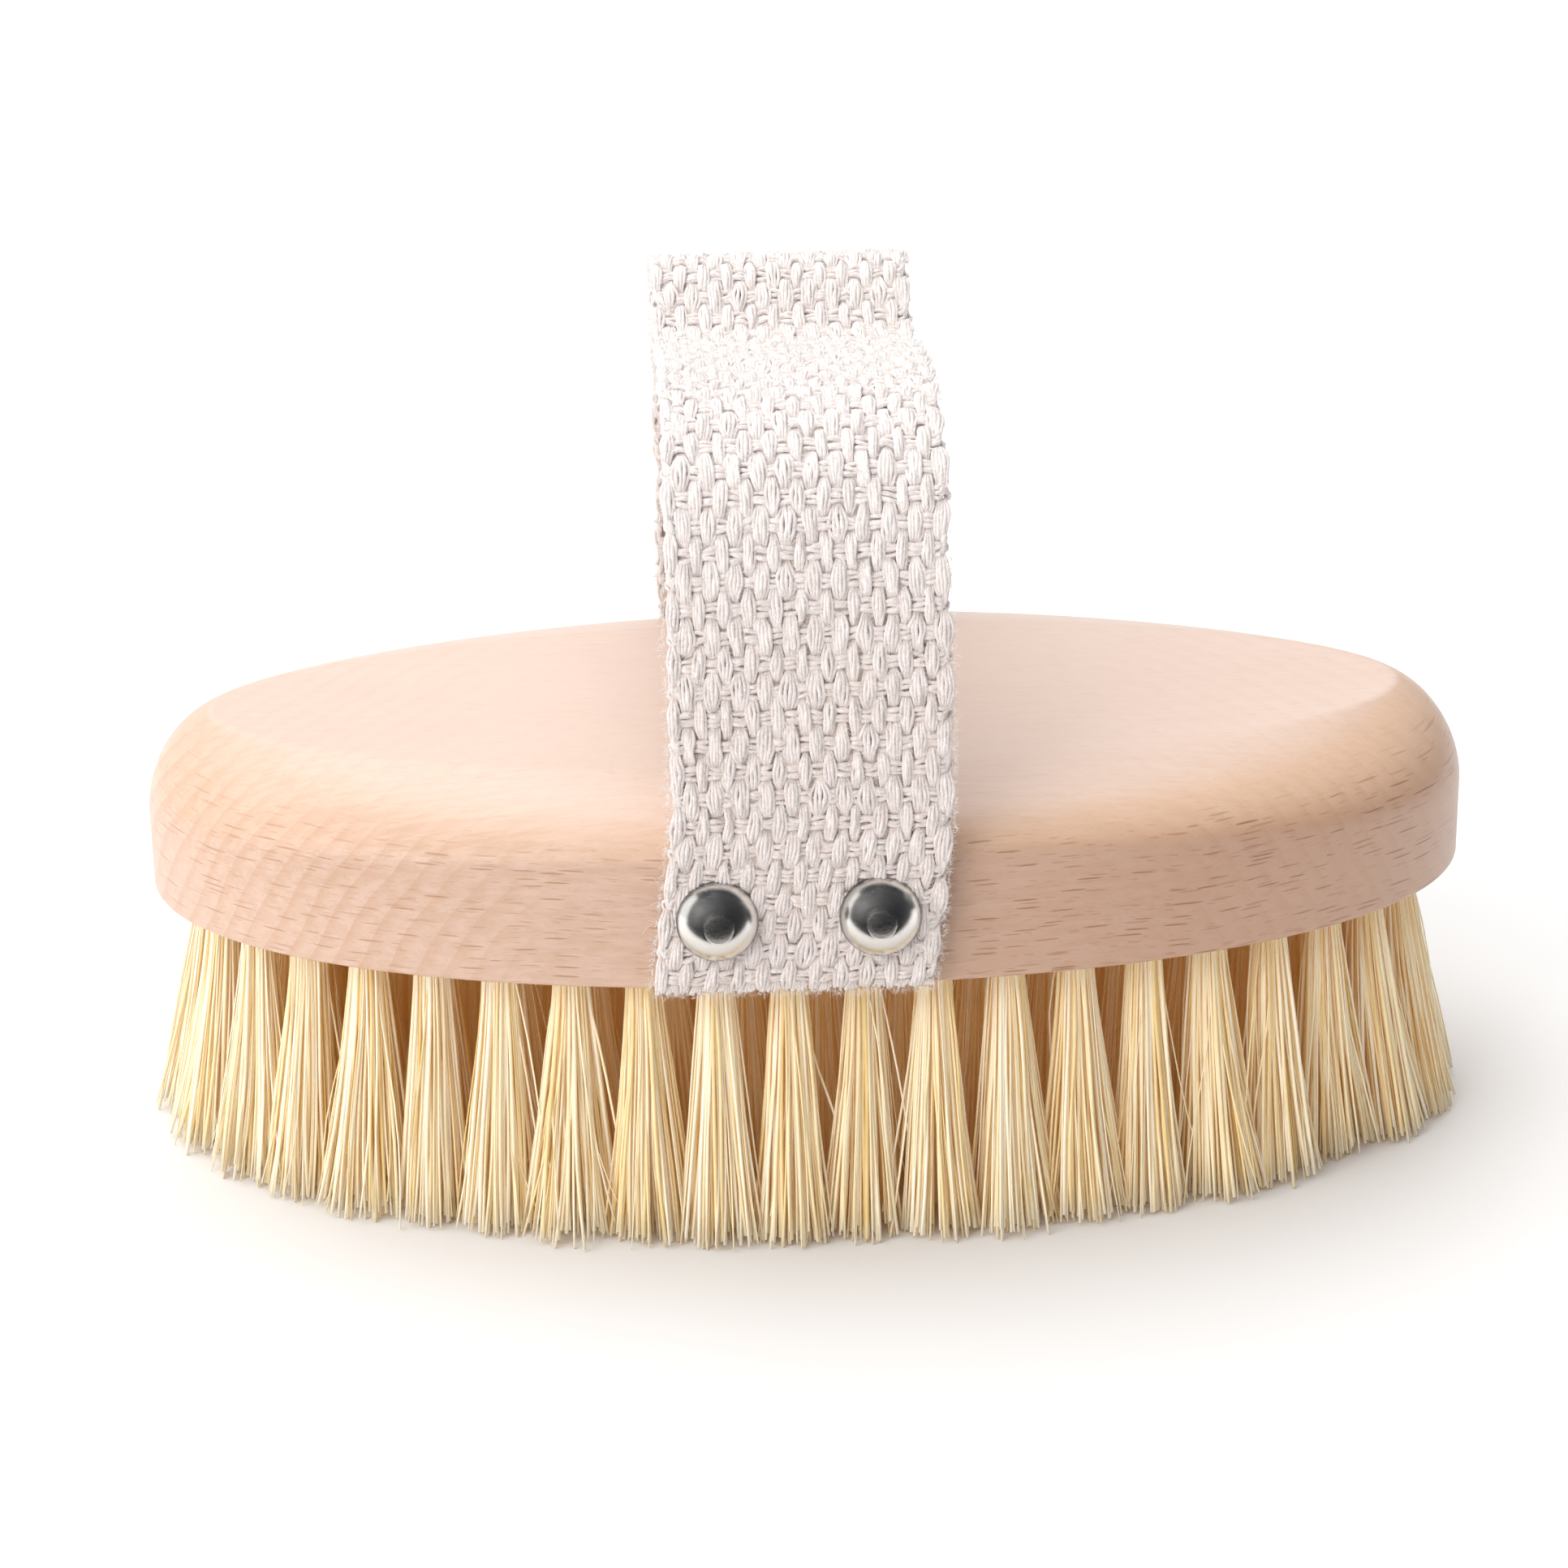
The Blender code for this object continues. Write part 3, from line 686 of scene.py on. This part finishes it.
def add_block(look, tuft_places):
    block = new_object("beech_block", mesh_of("beech_block", *skin(block_rings(), rising=True)), look)
    below = BLOCK_BOTTOM - CUTTER_OVERSHOOT
    above = BLOCK_BOTTOM + TUFT_HOLE_DEPTH
    ends = [((x, y, below), (x, y, above)) for x, y, _ in tuft_places]
    tuft_holes = pegs("tuft_holes", ends, TUFT_HOLE_RADIUS)
    outside = STRAP_SIDE + CUTTER_OVERSHOOT
    inside = NAIL_SEAT - NAIL_LENGTH - NAIL_HOLE_SPARE
    ends = [[(x, side * y, NAIL_HEIGHT) for y in (outside, inside)] for _, x, side in nail_places()]
    nail_holes = pegs("nail_holes", ends, NAIL_SHANK_RADIUS + NAIL_HOLE_GAP)
    for cutter in (tuft_holes, nail_holes):
        cut = block.modifiers.new(cutter.name, "BOOLEAN")
        cut.operation = "DIFFERENCE"
        cut.solver = "EXACT"
        cut.object = cutter
    bpy.context.view_layer.update()
    drilled = bpy.data.meshes.new_from_object(block.evaluated_get(bpy.context.evaluated_depsgraph_get()))
    block.modifiers.clear()
    block.data = drilled
    drilled.shade_smooth()
    drilled.set_sharp_from_angle(angle=math.radians(40))
    for cutter in (tuft_holes, nail_holes):
        bpy.data.objects.remove(cutter, do_unlink=True)
    finish_piece(block, "brush_block")


# ------------ the tufts


def tuft_paths(rng, count, lean):
    """Middle lines of one tuft's fibres, and which are strays. +X is outwards, Z = 0 the underside."""
    order = np.arange(count) + 0.5
    angle = order * GOLDEN_ANGLE + rng.uniform(0, 2 * math.pi)
    disc = np.sqrt(order / count)[:, None] * np.stack([np.cos(angle), np.sin(angle)], -1)
    disc += rng.normal(0, 0.035, disc.shape)
    root = disc * FIBRE_ROOT_RADIUS
    spread = rng.uniform(*TUFT_FULLNESS) * np.array([TUFT_DEPTH, rng.uniform(*TUFT_WIDTH)])
    tip = disc * FIBRE_TIP_RADIUS * spread
    locks = rng.normal(0, LOCK_SPREAD, (LOCKS, 2)) * FIBRE_TIP_RADIUS
    nearest = np.argmin(np.linalg.norm(tip[:, None] - locks[None], axis=2), axis=1)
    tip += (locks[nearest] - tip) * rng.uniform(0, LOCK_PULL, (count, 1))
    tip += rng.normal(0, TIP_SCATTER, tip.shape)
    tip += rng.normal(0, TUFT_SHIFT, 2) + (lean, 0)
    cut = np.abs(rng.normal(0, CUT_SCATTER, count))
    cut += rng.choice([0, SHORTER_CUT], count, p=[1 - SHORTER_SHARE, SHORTER_SHARE])
    stray = rng.random(count) < STRAY_SHARE
    reach = rng.normal(0, 1, tip.shape) * STRAY_REACH
    tip += np.where(stray[:, None], reach, 0)
    cut += np.where(stray, rng.uniform(0, STRAY_CUT, count), 0)
    length = BLOCK_BOTTOM - np.minimum(cut, DEEPEST_CUT)
    down = np.concatenate([[-FIBRE_IN_HOLE / BLOCK_BOTTOM], np.linspace(0, 1, FIBRE_POINTS - 1)])
    below = np.maximum(down, 0)[None, :, None]
    power = rng.uniform(*FIBRE_BOW, (count, 1, 1))
    sideways = root[:, None, :] + (tip - root)[:, None, :] * below**power
    sway = rng.normal(0, FIBRE_SWAY, (count, 1, 2))
    sway += stray[:, None, None] * rng.normal(0, STRAY_SWAY, (count, 1, 2))
    sideways += sway * np.sin(math.pi * below)
    sideways += sway[..., ::-1] * np.sin(2 * math.pi * below) / 2
    height = np.broadcast_to(-down[None, :] * length[:, None], sideways.shape[:2])
    return np.concatenate([sideways, height[..., None]], -1), stray


def fibre_mesh(rng, name, places, lean, count):
    """The cut fibres of the tufts at those places."""
    paths, strays = [], []
    for x, y, outward in places:
        lines, stray = tuft_paths(rng, count, lean)
        turn = np.array(Matrix.Rotation(outward, 3, "Z"))
        paths.append(lines @ turn.T + np.array([x, y, BLOCK_BOTTOM]))
        strays.append(stray)
    paths = np.concatenate(paths)
    strays = np.concatenate(strays)
    total, steps, _ = paths.shape
    thickness = FIBRE_THIN + (FIBRE_THICK - FIBRE_THIN) * rng.beta(1.5, 1.7, total)
    thickness *= np.where(strays, STRAY_THINNESS, 1.0)
    taper = np.linspace(1.0, FIBRE_TAPER, steps)[None, :] * (1 + rng.normal(0, 0.04, (total, steps)))
    facing = rng.uniform(0, 2 * math.pi, total)
    reference = np.stack([np.cos(facing), np.sin(facing), 0 * facing], -1)[:, None, :]
    radii = thickness[:, None] * taper
    points, faces, _ = tubes(paths, radii, FIBRE_SIDES, reference, FIBRE_FLATNESS)
    tone = np.clip(rng.normal(*FIBRE_TONE, (total, 1)), 0, 1)
    tone = np.where(rng.random((total, 1)) < DARK_SHARE, tone * DARK_TONE, tone)
    number = rng.random((total, 1))
    facts = round_tubes(paths, FIBRE_SIDES, np.linspace(0, 1, steps), tone, number)
    return mesh_of(name, points, faces, {"fibre": np.stack(facts, -1)})


def add_outer_tufts(rng, look):
    half_length, half_width, count, lean = OUTER_ROW
    for number, place in enumerate(evenly_round_oval(half_length, half_width, count), start=1):
        node = f"outer_tuft_{number:02d}"
        name = f"{node}_fibres"
        piece = new_object(name, fibre_mesh(rng, name, [place], lean, OUTER_FIBRES), look)
        finish_piece(piece, node)


def add_row_stretches(rng, look, row_name, places, stretches, lean):
    """One piece for each stretch of neighbouring tufts, as the CAD splits the row."""
    share = len(places) / len(stretches)
    for i, stretch in enumerate(stretches):
        chosen = places[round(i * share) : round((i + 1) * share)]
        node = f"{row_name}_tufts_{stretch}" if stretch else f"{row_name}_tufts"
        name = f"{node}_fibres"
        piece = new_object(name, fibre_mesh(rng, name, chosen, lean, INNER_FIBRES), look)
        finish_piece(piece, node)


def add_tufts(rng, look):
    """Returns every place that has a tuft."""
    add_outer_tufts(rng, look)
    places = evenly_round_oval(*OUTER_ROW[:3])
    quarters = ("rear_right", "rear_left", "front_left", "front_right")
    rows = [
        ("second_row", SECOND_ROW, quarters),
        ("third_row", THIRD_ROW, quarters),
        ("fourth_row", FOURTH_ROW, ("rear", "front")),
    ]
    for row_name, (half_length, half_width, count, lean), stretches in rows:
        row_places = evenly_round_oval(half_length, half_width, count)
        add_row_stretches(rng, look, row_name, row_places, stretches, lean)
        places += row_places
    middle = middle_row_places()
    add_row_stretches(rng, look, "middle_row", middle, ("",), 0.0)
    return places + middle


# ------------ the strap


def strap_shape():
    """The strap's middle line, front end first, as (y, height above the block's underside)."""
    side = STRAP_SIDE / MM
    shape = [
        (-side, 0.8), (-side, 4.5), (-side, 9.0), (-side + 0.1, 15.0),
        (-34.7, 25.0), (-33.2, 34.0), (-31.0, 42.0), (-27.6, 48.2),
        (-22.0, 51.6), (-13.5, 52.3), (-5.0, 51.8), (3.0, 50.6),
        (8.6, 50.2), (12.0, 52.4), (15.2, 55.6), (19.6, 55.9),
        (25.5, 52.0), (30.6, 43.5), (34.2, 31.0), (side - 0.2, 19.0),
        (side, 9.0), (side, 4.5), (side, 0.8),
    ]
    return np.array(shape) * MM + (0.0, BLOCK_BOTTOM)


def smooth_through(points, steps):
    """A Catmull-Rom curve through the points, with steps pieces in each span."""
    padded = np.concatenate([[2 * points[0] - points[1]], points, [2 * points[-1] - points[-2]]])
    t = (np.arange(steps) / steps)[:, None]
    spans = []
    for p0, p1, p2, p3 in zip(padded, padded[1:], padded[2:], padded[3:]):
        bend = (2 * p0 - 5 * p1 + 4 * p2 - p3) * t**2 + (3 * p1 - p0 - 3 * p2 + p3) * t**3
        spans.append((2 * p1 + (p2 - p0) * t + bend) / 2)
    return np.concatenate([*spans, points[-1:]])


class Strap:
    """Places points on the strap, from how far along it, across it and out from its middle they are."""

    def __init__(self):
        line = smooth_through(strap_shape(), STRAP_STEPS)
        before = line[0] - unit(line[1] - line[0]) * STRAP_TAIL
        beyond = line[-1] + unit(line[-1] - line[-2]) * STRAP_TAIL
        line = np.concatenate([[before], line, [beyond]])
        steps = np.linalg.norm(np.diff(line, axis=0), axis=1)
        self.line = line
        self.at = np.concatenate([[0], np.cumsum(steps)]) - STRAP_TAIL
        self.length = self.at[-1] - STRAP_TAIL
        self.along = unit(np.gradient(line, axis=0))

    def follow(self, along, values):
        return np.interp(along, self.at, values)

    def normal(self, along):
        ty, tz = self.follow(along, self.along[:, 0]), self.follow(along, self.along[:, 1])
        return unit(np.stack([np.zeros_like(ty), -tz, ty], -1))

    def centre(self, y, z):
        low = np.maximum(0, 1 - (z - BLOCK_BOTTOM) / (BLOCK_TOP - BLOCK_BOTTOM))
        low = np.where(y < 0, low, 0)
        return STRAP_CENTRE + STRAP_FRONT_DRIFT * low, 1 + STRAP_FRONT_SPREAD * low

    def pressed(self, along, x, out):
        """The heads of the nails press the cloth flat."""
        for _, nail_x, side in nail_places():
            nail_along = NAIL_HEIGHT - strap_shape()[0][1]
            if side > 0:
                nail_along = self.length - nail_along
            apart = ((along - nail_along) ** 2 + (x - nail_x) ** 2) / NAIL_PRESS_REACH**2
            near = np.exp(-(apart**2))
            out = out * (1 - NAIL_PRESS_SHARE * near) - NAIL_PRESS_DEPTH * near
        return out

    def place(self, along, across, out):
        y, z = self.follow(along, self.line[:, 0]), self.follow(along, self.line[:, 1])
        middle, widening = self.centre(y, z)
        x = middle + across * widening
        out = self.pressed(along, x, out)
        return np.stack([x, y, z], -1) + self.normal(along) * out[..., None]


def yarn_mesh(rng, name, paths, radius, reference, along, depth, numbers):
    """Yarns, with what the cotton material needs to know at each point."""
    points, faces, turns = tubes(paths, radius, YARN_SIDES, reference)
    number = rng.uniform(*numbers, (len(paths), 1))
    tone = rng.random((len(paths), 1)) ** 2
    along, number, depth, tone = round_tubes(paths, YARN_SIDES, along / MM, number, depth, tone)
    yarn = np.stack([along, turns, number], -1)
    return mesh_of(name, points, faces, {"yarn": yarn, "lie": np.stack([depth, tone, tone], -1)})


def warp_mesh(rng, strap, name, columns):
    """The lengthwise yarns, each over one weft and under the next, out of step with its neighbours."""
    along = np.arange(-CUT_END_RAG, strap.length + CUT_END_RAG, WEFT_PITCH / WARP_SAMPLES)
    across, out, radius, depth = [], [], [], []
    for column in columns:
        uneven = wander(rng, 1, along, *WARP_UNEVEN)[0]
        wave = np.cos(math.pi * (along / WEFT_PITCH - 0.5 + column) + uneven)
        wave = (wave + WARP_BIAS) / (1 + WARP_BIAS * np.sign(wave + WARP_BIAS))
        lift = WARP_LIFT * np.tanh(WARP_SQUARENESS * wave) / math.tanh(WARP_SQUARENESS)
        crown = np.abs(wave)
        gather = WARP_GATHER[0] + WARP_GATHER[1] * crown**0.8
        middle = (column - (WARP_COLUMNS - 1) / 2) * WARP_PITCH
        middle = middle + wander(rng, 1, along, *WARP_DRIFT)
        roll = wander(rng, 1, along, *WARP_ROLL)
        plump = 1 + wander(rng, 1, along, *WARP_PLUMPNESS)
        strands, half = WARP_WIDE if column % 2 else WARP_NARROW
        for strand in np.linspace(-half, half, strands):
            offset = strand * gather * plump
            drift = wander(rng, 1, along, *WARP_STRAND_DRIFT)
            across.append(middle + offset * np.cos(roll) + drift)
            dome = WARP_DOME * (1 - (strand / half) ** 2) * np.sign(wave) * crown
            lifted = lift * (1 + wander(rng, 1, along, *WARP_LIFT_DRIFT))
            out.append(lifted + dome + offset * np.sin(roll) / 2)
            swell = 1 + wander(rng, 1, along, *WARP_SWELLING)
            radius.append(WARP_RADIUS * (0.82 + 0.22 * crown) * swell)
            depth.append(np.broadcast_to(crown, (1, len(along))))
    across, out, radius, depth = (np.concatenate(rows) for rows in (across, out, radius, depth))
    count = len(across)
    every = np.broadcast_to(along, across.shape).copy()
    every += np.where(every < 0, rng.uniform(-CUT_LONGER, CUT_SHORTER, (count, 1)), 0)
    every += np.where(every > strap.length, rng.uniform(-CUT_SHORTER, CUT_LONGER, (count, 1)), 0)
    every = np.maximum.accumulate(every, axis=1)
    from_end = np.minimum(every, strap.length - every)
    out = out * np.clip(0.35 + from_end / (1.2 * MM), 0.2, 1)
    paths = strap.place(every, across, out)
    return yarn_mesh(rng, name, paths, radius, np.array([1.0, 0.0, 0.0]), every, depth, (0, 50))


def weft_lines(rng, strap, layer):
    """Each crosswise strand as one long line that turns back at both edges."""
    rows = int(strap.length / WEFT_PITCH)
    half = STRAP_WIDTH / 2 - WEFT_INSET
    step = WARP_PITCH / WEFT_SAMPLES
    crossing = np.arange(-half, half, step)
    bend = np.linspace(0, math.pi, 9)[1:-1]
    lines = []
    for strand in WEFT_STRANDS:
        along, across, out = [], [], []
        for row in range(rows):
            way = 1 if row % 2 == 0 else -1
            at = (row + 0.5) * WEFT_PITCH
            offset = strand * way * WEFT_STRAND_STEP
            columns = crossing * way / WARP_PITCH + (WARP_COLUMNS - 1) / 2
            along.append(np.full(len(crossing), at + offset) + rng.normal(0, 0.03 * MM))
            across.append(crossing * way)
            out.append(-WEFT_SWAY * np.cos(math.pi * (columns + row)) + layer)
            if row < rows - 1:
                reach = max(WEFT_PITCH / 2 - offset * way, WEFT_TIGHTEST_TURN)
                bulge = WEFT_LOOP + WEFT_LOOP_SHARE * reach
                along.append(at + WEFT_PITCH / 2 - reach * np.cos(bend))
                across.append(way * (half + bulge * np.sin(bend)))
                out.append(np.full(len(bend), layer))
        lines.append([np.concatenate(part) for part in (along, across, out)])
    return np.array(lines)


def weft_mesh(rng, strap, name, layer):
    lines = weft_lines(rng, strap, layer)
    along, across, out = lines[:, 0], lines[:, 1], lines[:, 2]
    count, steps = along.shape
    travelled = np.arange(steps) * WARP_PITCH / WEFT_SAMPLES
    along = along + wander(rng, count, travelled, *WEFT_DRIFT)
    out = out + wander(rng, count, travelled, *WEFT_LIFT_DRIFT)
    paths = strap.place(along, across, out)
    radius = WEFT_RADIUS * (1 + wander(rng, count, travelled, *WEFT_SWELLING))
    edge = np.clip((np.abs(across) - STRAP_WIDTH / 2 + 0.9 * MM) / MM, 0, 1)
    depth = 0.4 + 0.5 * edge
    return yarn_mesh(rng, name, paths, radius, strap.normal(along), travelled, depth, (50, 90))


def shade_sheet_mesh(strap):
    """A thin dark ribbon in the middle of the cloth, which fills the gaps between the yarns with painted
    shade.
    """
    along = np.linspace(0, strap.length, SHADE_SHEET_STEPS)
    half = STRAP_WIDTH / 2 - SHADE_SHEET_INSET
    corners = [(-half, -1), (half, -1), (half, 1), (-half, 1)]
    rings = []
    for across, out in corners:
        fill = np.full(len(along), across)
        rings.append(strap.place(along, fill, np.full(len(along), out * SHADE_SHEET_THICKNESS / 2)))
    return mesh_of("strap_shade_sheet", *skin(np.stack(rings, axis=1)))


def fuzz_mesh(rng, strap, name, count):
    """Loose cotton hairs on one face, or along the edges and at the cut ends."""
    half = STRAP_WIDTH / 2
    edge = name.endswith("edges")
    along = rng.uniform(0, strap.length, count)
    across = rng.uniform(-half, half, count)
    face = np.full(count, -1.0 if name.endswith("inside") else 1.0)
    out = face * rng.uniform(0.35 * MM, 0.85 * MM, count)
    side = rng.choice([-1.0, 1.0], count)
    grow = np.linspace(0, 1, FUZZ_POINTS)[None, :]
    length = rng.uniform(*FUZZ_LENGTH, (count, 1))
    length *= np.where(rng.random((count, 1)) < FUZZ_LONG_SHARE, 1.6, 1.0)
    length *= FUZZ_EDGE_SHORTENING if edge else 1.0
    heading = rng.uniform(0, 2 * math.pi, (count, 1)) + rng.normal(0, 2.2, (count, 1)) * grow
    stride = 0.8 * length / FUZZ_POINTS
    move_along = stride * np.cumsum(np.cos(heading), axis=1)
    move_across = stride * np.cumsum(np.sin(heading), axis=1)
    if edge:
        out = rng.uniform(-0.7 * MM, 0.8 * MM, count)
        ends = rng.random(count) < 0.2
        at_front = rng.random(count) < 0.5
        end = np.where(at_front, -CUT_END_RAG, strap.length + CUT_END_RAG)
        along = np.where(ends, end, along)
        across = np.where(ends, across, side * (half + 0.05 * MM))
        outwards = np.where(at_front, -1.0, 1.0)[:, None]
        move_along = np.where(ends[:, None], outwards * np.abs(move_along), move_along)
        move_across = np.where(ends[:, None], move_across, side[:, None] * np.abs(move_across))
    rise = face[:, None] * length * grow * rng.uniform(0.05, 0.35, (count, 1))
    paths = strap.place(along[:, None] + move_along, across[:, None] + move_across, out[:, None] + rise)
    radius = FUZZ_RADIUS * rng.uniform(0.7, 1.25, (count, 1)) * np.linspace(1.0, 0.5, FUZZ_POINTS)
    reference = unit(rng.normal(0, 1, (count, 1, 3)))
    points, faces, _ = tubes(paths, radius, 3, reference)
    return mesh_of(name, points, faces)


def add_strap(rng):
    strap = Strap()
    cotton = cotton_look()
    # A dark sheet inside the cloth: painted shade for the gaps between the yarns.
    shade_sheet = new_object("strap_shade_sheet", shade_sheet_mesh(strap), cotton_shade_sheet_look())
    finish_piece(shade_sheet, "hand_strap")
    yarns = []
    groups = np.array_split(np.arange(WARP_COLUMNS), len(WARP_PIECES))
    for place, columns in zip(WARP_PIECES, groups):
        name = f"strap_warp_{place}"
        yarns.append(new_object(name, warp_mesh(rng, strap, name, columns), cotton))
    for place, layer in (("outside", WEFT_LAYER), ("inside", -WEFT_LAYER)):
        name = f"strap_weft_{place}"
        yarns.append(new_object(name, weft_mesh(rng, strap, name, layer), cotton))
    fuzz = fuzz_look()
    for place, count in FUZZ.items():
        name = f"strap_fuzz_{place}"
        yarns.append(new_object(name, fuzz_mesh(rng, strap, name, count), fuzz))
    for piece in yarns:
        finish_piece(piece, "hand_strap")


# ------------ the nails


def nail_places():
    """Each nail's name, its x, and -1 for the front or +1 for the rear."""
    half = NAIL_SPACING / 2
    return [
        ("strap_nail_front_left", FRONT_NAILS_X - half, -1),
        ("strap_nail_front_right", FRONT_NAILS_X + half, -1),
        ("strap_nail_rear_left", REAR_NAILS_X - half, 1),
        ("strap_nail_rear_right", REAR_NAILS_X + half, 1),
    ]


def nail_profile():
    """(radius, height) from the top of the dome to the point, with the head's underside at height 0."""
    sphere = (NAIL_HEAD_RADIUS**2 + NAIL_DOME**2) / (2 * NAIL_DOME)
    widest = math.asin(NAIL_HEAD_RADIUS / sphere)
    centre = NAIL_RIM + NAIL_DOME - sphere
    angles = np.linspace(0, widest, 40)[1:]
    radius = sphere * np.sin(angles)
    height = centre + sphere * np.cos(angles)
    mark = np.exp(-(((radius - NAIL_MARK_RADIUS) / NAIL_MARK_WIDTH) ** 2))
    height = height - NAIL_MARK_DEPTH * mark
    dome = list(zip(radius, height))
    bend = np.linspace(0, math.pi / 2, 6)[1:]
    inset = NAIL_RIM_INSET * (1 - np.cos(bend))
    rim = list(zip(NAIL_HEAD_RADIUS - inset, NAIL_RIM * (1 - np.sin(bend))))
    shank = [
        (NAIL_SHANK_RADIUS, 0.0),
        (NAIL_SHANK_RADIUS, NAIL_POINT - NAIL_LENGTH),
        (NAIL_TIP_RADIUS, -NAIL_LENGTH),
    ]
    return dome + rim + shank


def nail_mesh(name, side):
    """The head leans a little upward on its shank, as hammered."""
    profile = np.array(nail_profile())
    angles = 2 * math.pi * np.arange(NAIL_SEGMENTS) / NAIL_SEGMENTS
    circle = np.stack([np.cos(angles), np.sin(angles), 0 * angles], -1)
    points = profile[:, None, 0, None] * circle[None] + profile[:, None, 1, None] * np.array([0, 0, 1.0])
    head = profile[:, 0] > NAIL_SHANK_RADIUS + 0.01 * MM
    head |= profile[:, 1] > 0
    points[head] = points[head] @ np.array(Matrix.Rotation(side * NAIL_HEAD_TILT, 3, "X")).T
    mesh = mesh_of(name, *skin(points))
    mesh.set_sharp_from_angle(angle=math.radians(50))
    return mesh


def add_nails(rng):
    look = nickel_look()
    for node, x, side in nail_places():
        name = f"{node}_polished"
        nail = new_object(name, nail_mesh(name, side), look)
        tilt = Matrix.Rotation(rng.normal(0, math.radians(1.5)), 4, "Z")
        turn = Matrix.Rotation(-side * math.pi / 2, 4, "X")
        nail.matrix_world = Matrix.Translation((x, side * NAIL_SEAT, NAIL_HEIGHT)) @ tilt @ turn
        finish_piece(nail, node)


# ------------ the studio


def add_camera():
    data = bpy.data.cameras.new("camera")
    data.lens = CAMERA_LENS
    data.sensor_width = 36.0
    data.clip_start = 0.01
    camera = new_object("camera", data)
    turn = Matrix.Rotation(CAMERA_YAW, 4, "Z") @ Matrix.Rotation(CAMERA_PITCH, 4, "X")
    camera.matrix_world = Matrix.Translation(CAMERA_PLACE) @ turn @ Matrix.Rotation(CAMERA_ROLL, 4, "Z")
    bpy.context.scene.camera = camera


def add_lights():
    for name, place, size, power, colour in LIGHTS:
        data = bpy.data.lights.new(name, "AREA")
        data.shape = "RECTANGLE"
        data.size, data.size_y = size
        data.energy = power
        data.color = colour
        light = new_object(name, data)
        light.location = place
        light.rotation_mode = "QUATERNION"
        light.rotation_quaternion = (Vector(LIGHT_AIM) - Vector(place)).to_track_quat("-Z", "Y")


def add_card(name, front, back):
    """A black card that only shows in polished surfaces. front and back are its edges, as (y, z)."""
    corners = [(x, *edge) for x, edge in zip((CARD_LEFT, CARD_RIGHT) * 2, (front, front, back, back))]
    mesh = bpy.data.meshes.new(name)
    mesh.from_pydata(corners, [], [(0, 1, 3, 2)])
    look = Look(name)
    card = new_object(name, mesh, look.finish(Base_Color=(0.012, 0.014, 0.02, 1.0), Roughness=1.0))
    card.visible_camera = False
    card.visible_diffuse = False
    card.visible_shadow = False
    card.visible_transmission = False


def add_floor():
    mesh = bpy.data.meshes.new("floor")
    corners = [(x * FLOOR_REACH, y * FLOOR_REACH, 0) for x, y in ((-1, -1), (1, -1), (1, 1), (-1, 1))]
    mesh.from_pydata(corners, [], [(0, 1, 2, 3)])
    floor = new_object("floor", mesh, floor_look())


def add_world():
    world = bpy.data.worlds.new("studio")
    world.use_nodes = True
    nodes = Nodes(world.node_tree)
    way = nodes.node("ShaderNodeTexCoord").outputs["Generated"]
    inputs = {
        "Value": nodes.vector("DOT_PRODUCT", way, WORLD_BRIGHT_SIDE),
        "From Min": -WORLD_TURN,
        "From Max": WORLD_TURN,
        "To Min": WORLD_DIM,
        "To Max": WORLD_BRIGHT,
    }
    background = world.node_tree.nodes["Background"]
    background.inputs["Color"].default_value = (1.0, 1.0, 1.0, 1.0)
    nodes.feed(background.inputs["Strength"], nodes.node("ShaderNodeMapRange", inputs).outputs[0])
    bpy.context.scene.world = world


def add_studio():
    add_floor()
    add_world()
    add_lights()
    add_card("black_card", (CARD_FRONT, CARD_BOTTOM), (CARD_FRONT, CARD_TOP))
    add_card("black_card_over", (CARD_FRONT, CARD_TOP), (CARD_OVER_BACK, CARD_OVER_TOP))
    bpy.context.scene.view_settings.view_transform = "Standard"
    bpy.context.scene.cycles.diffuse_bounces = 12


# ------------ the whole scene


def main():
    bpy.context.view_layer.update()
    rng = np.random.default_rng(20)
    add_camera()
    places = add_tufts(rng, plant_fibre_look())
    add_block(beech_look(), places)
    add_strap(rng)
    add_nails(rng)
    add_studio()


main()
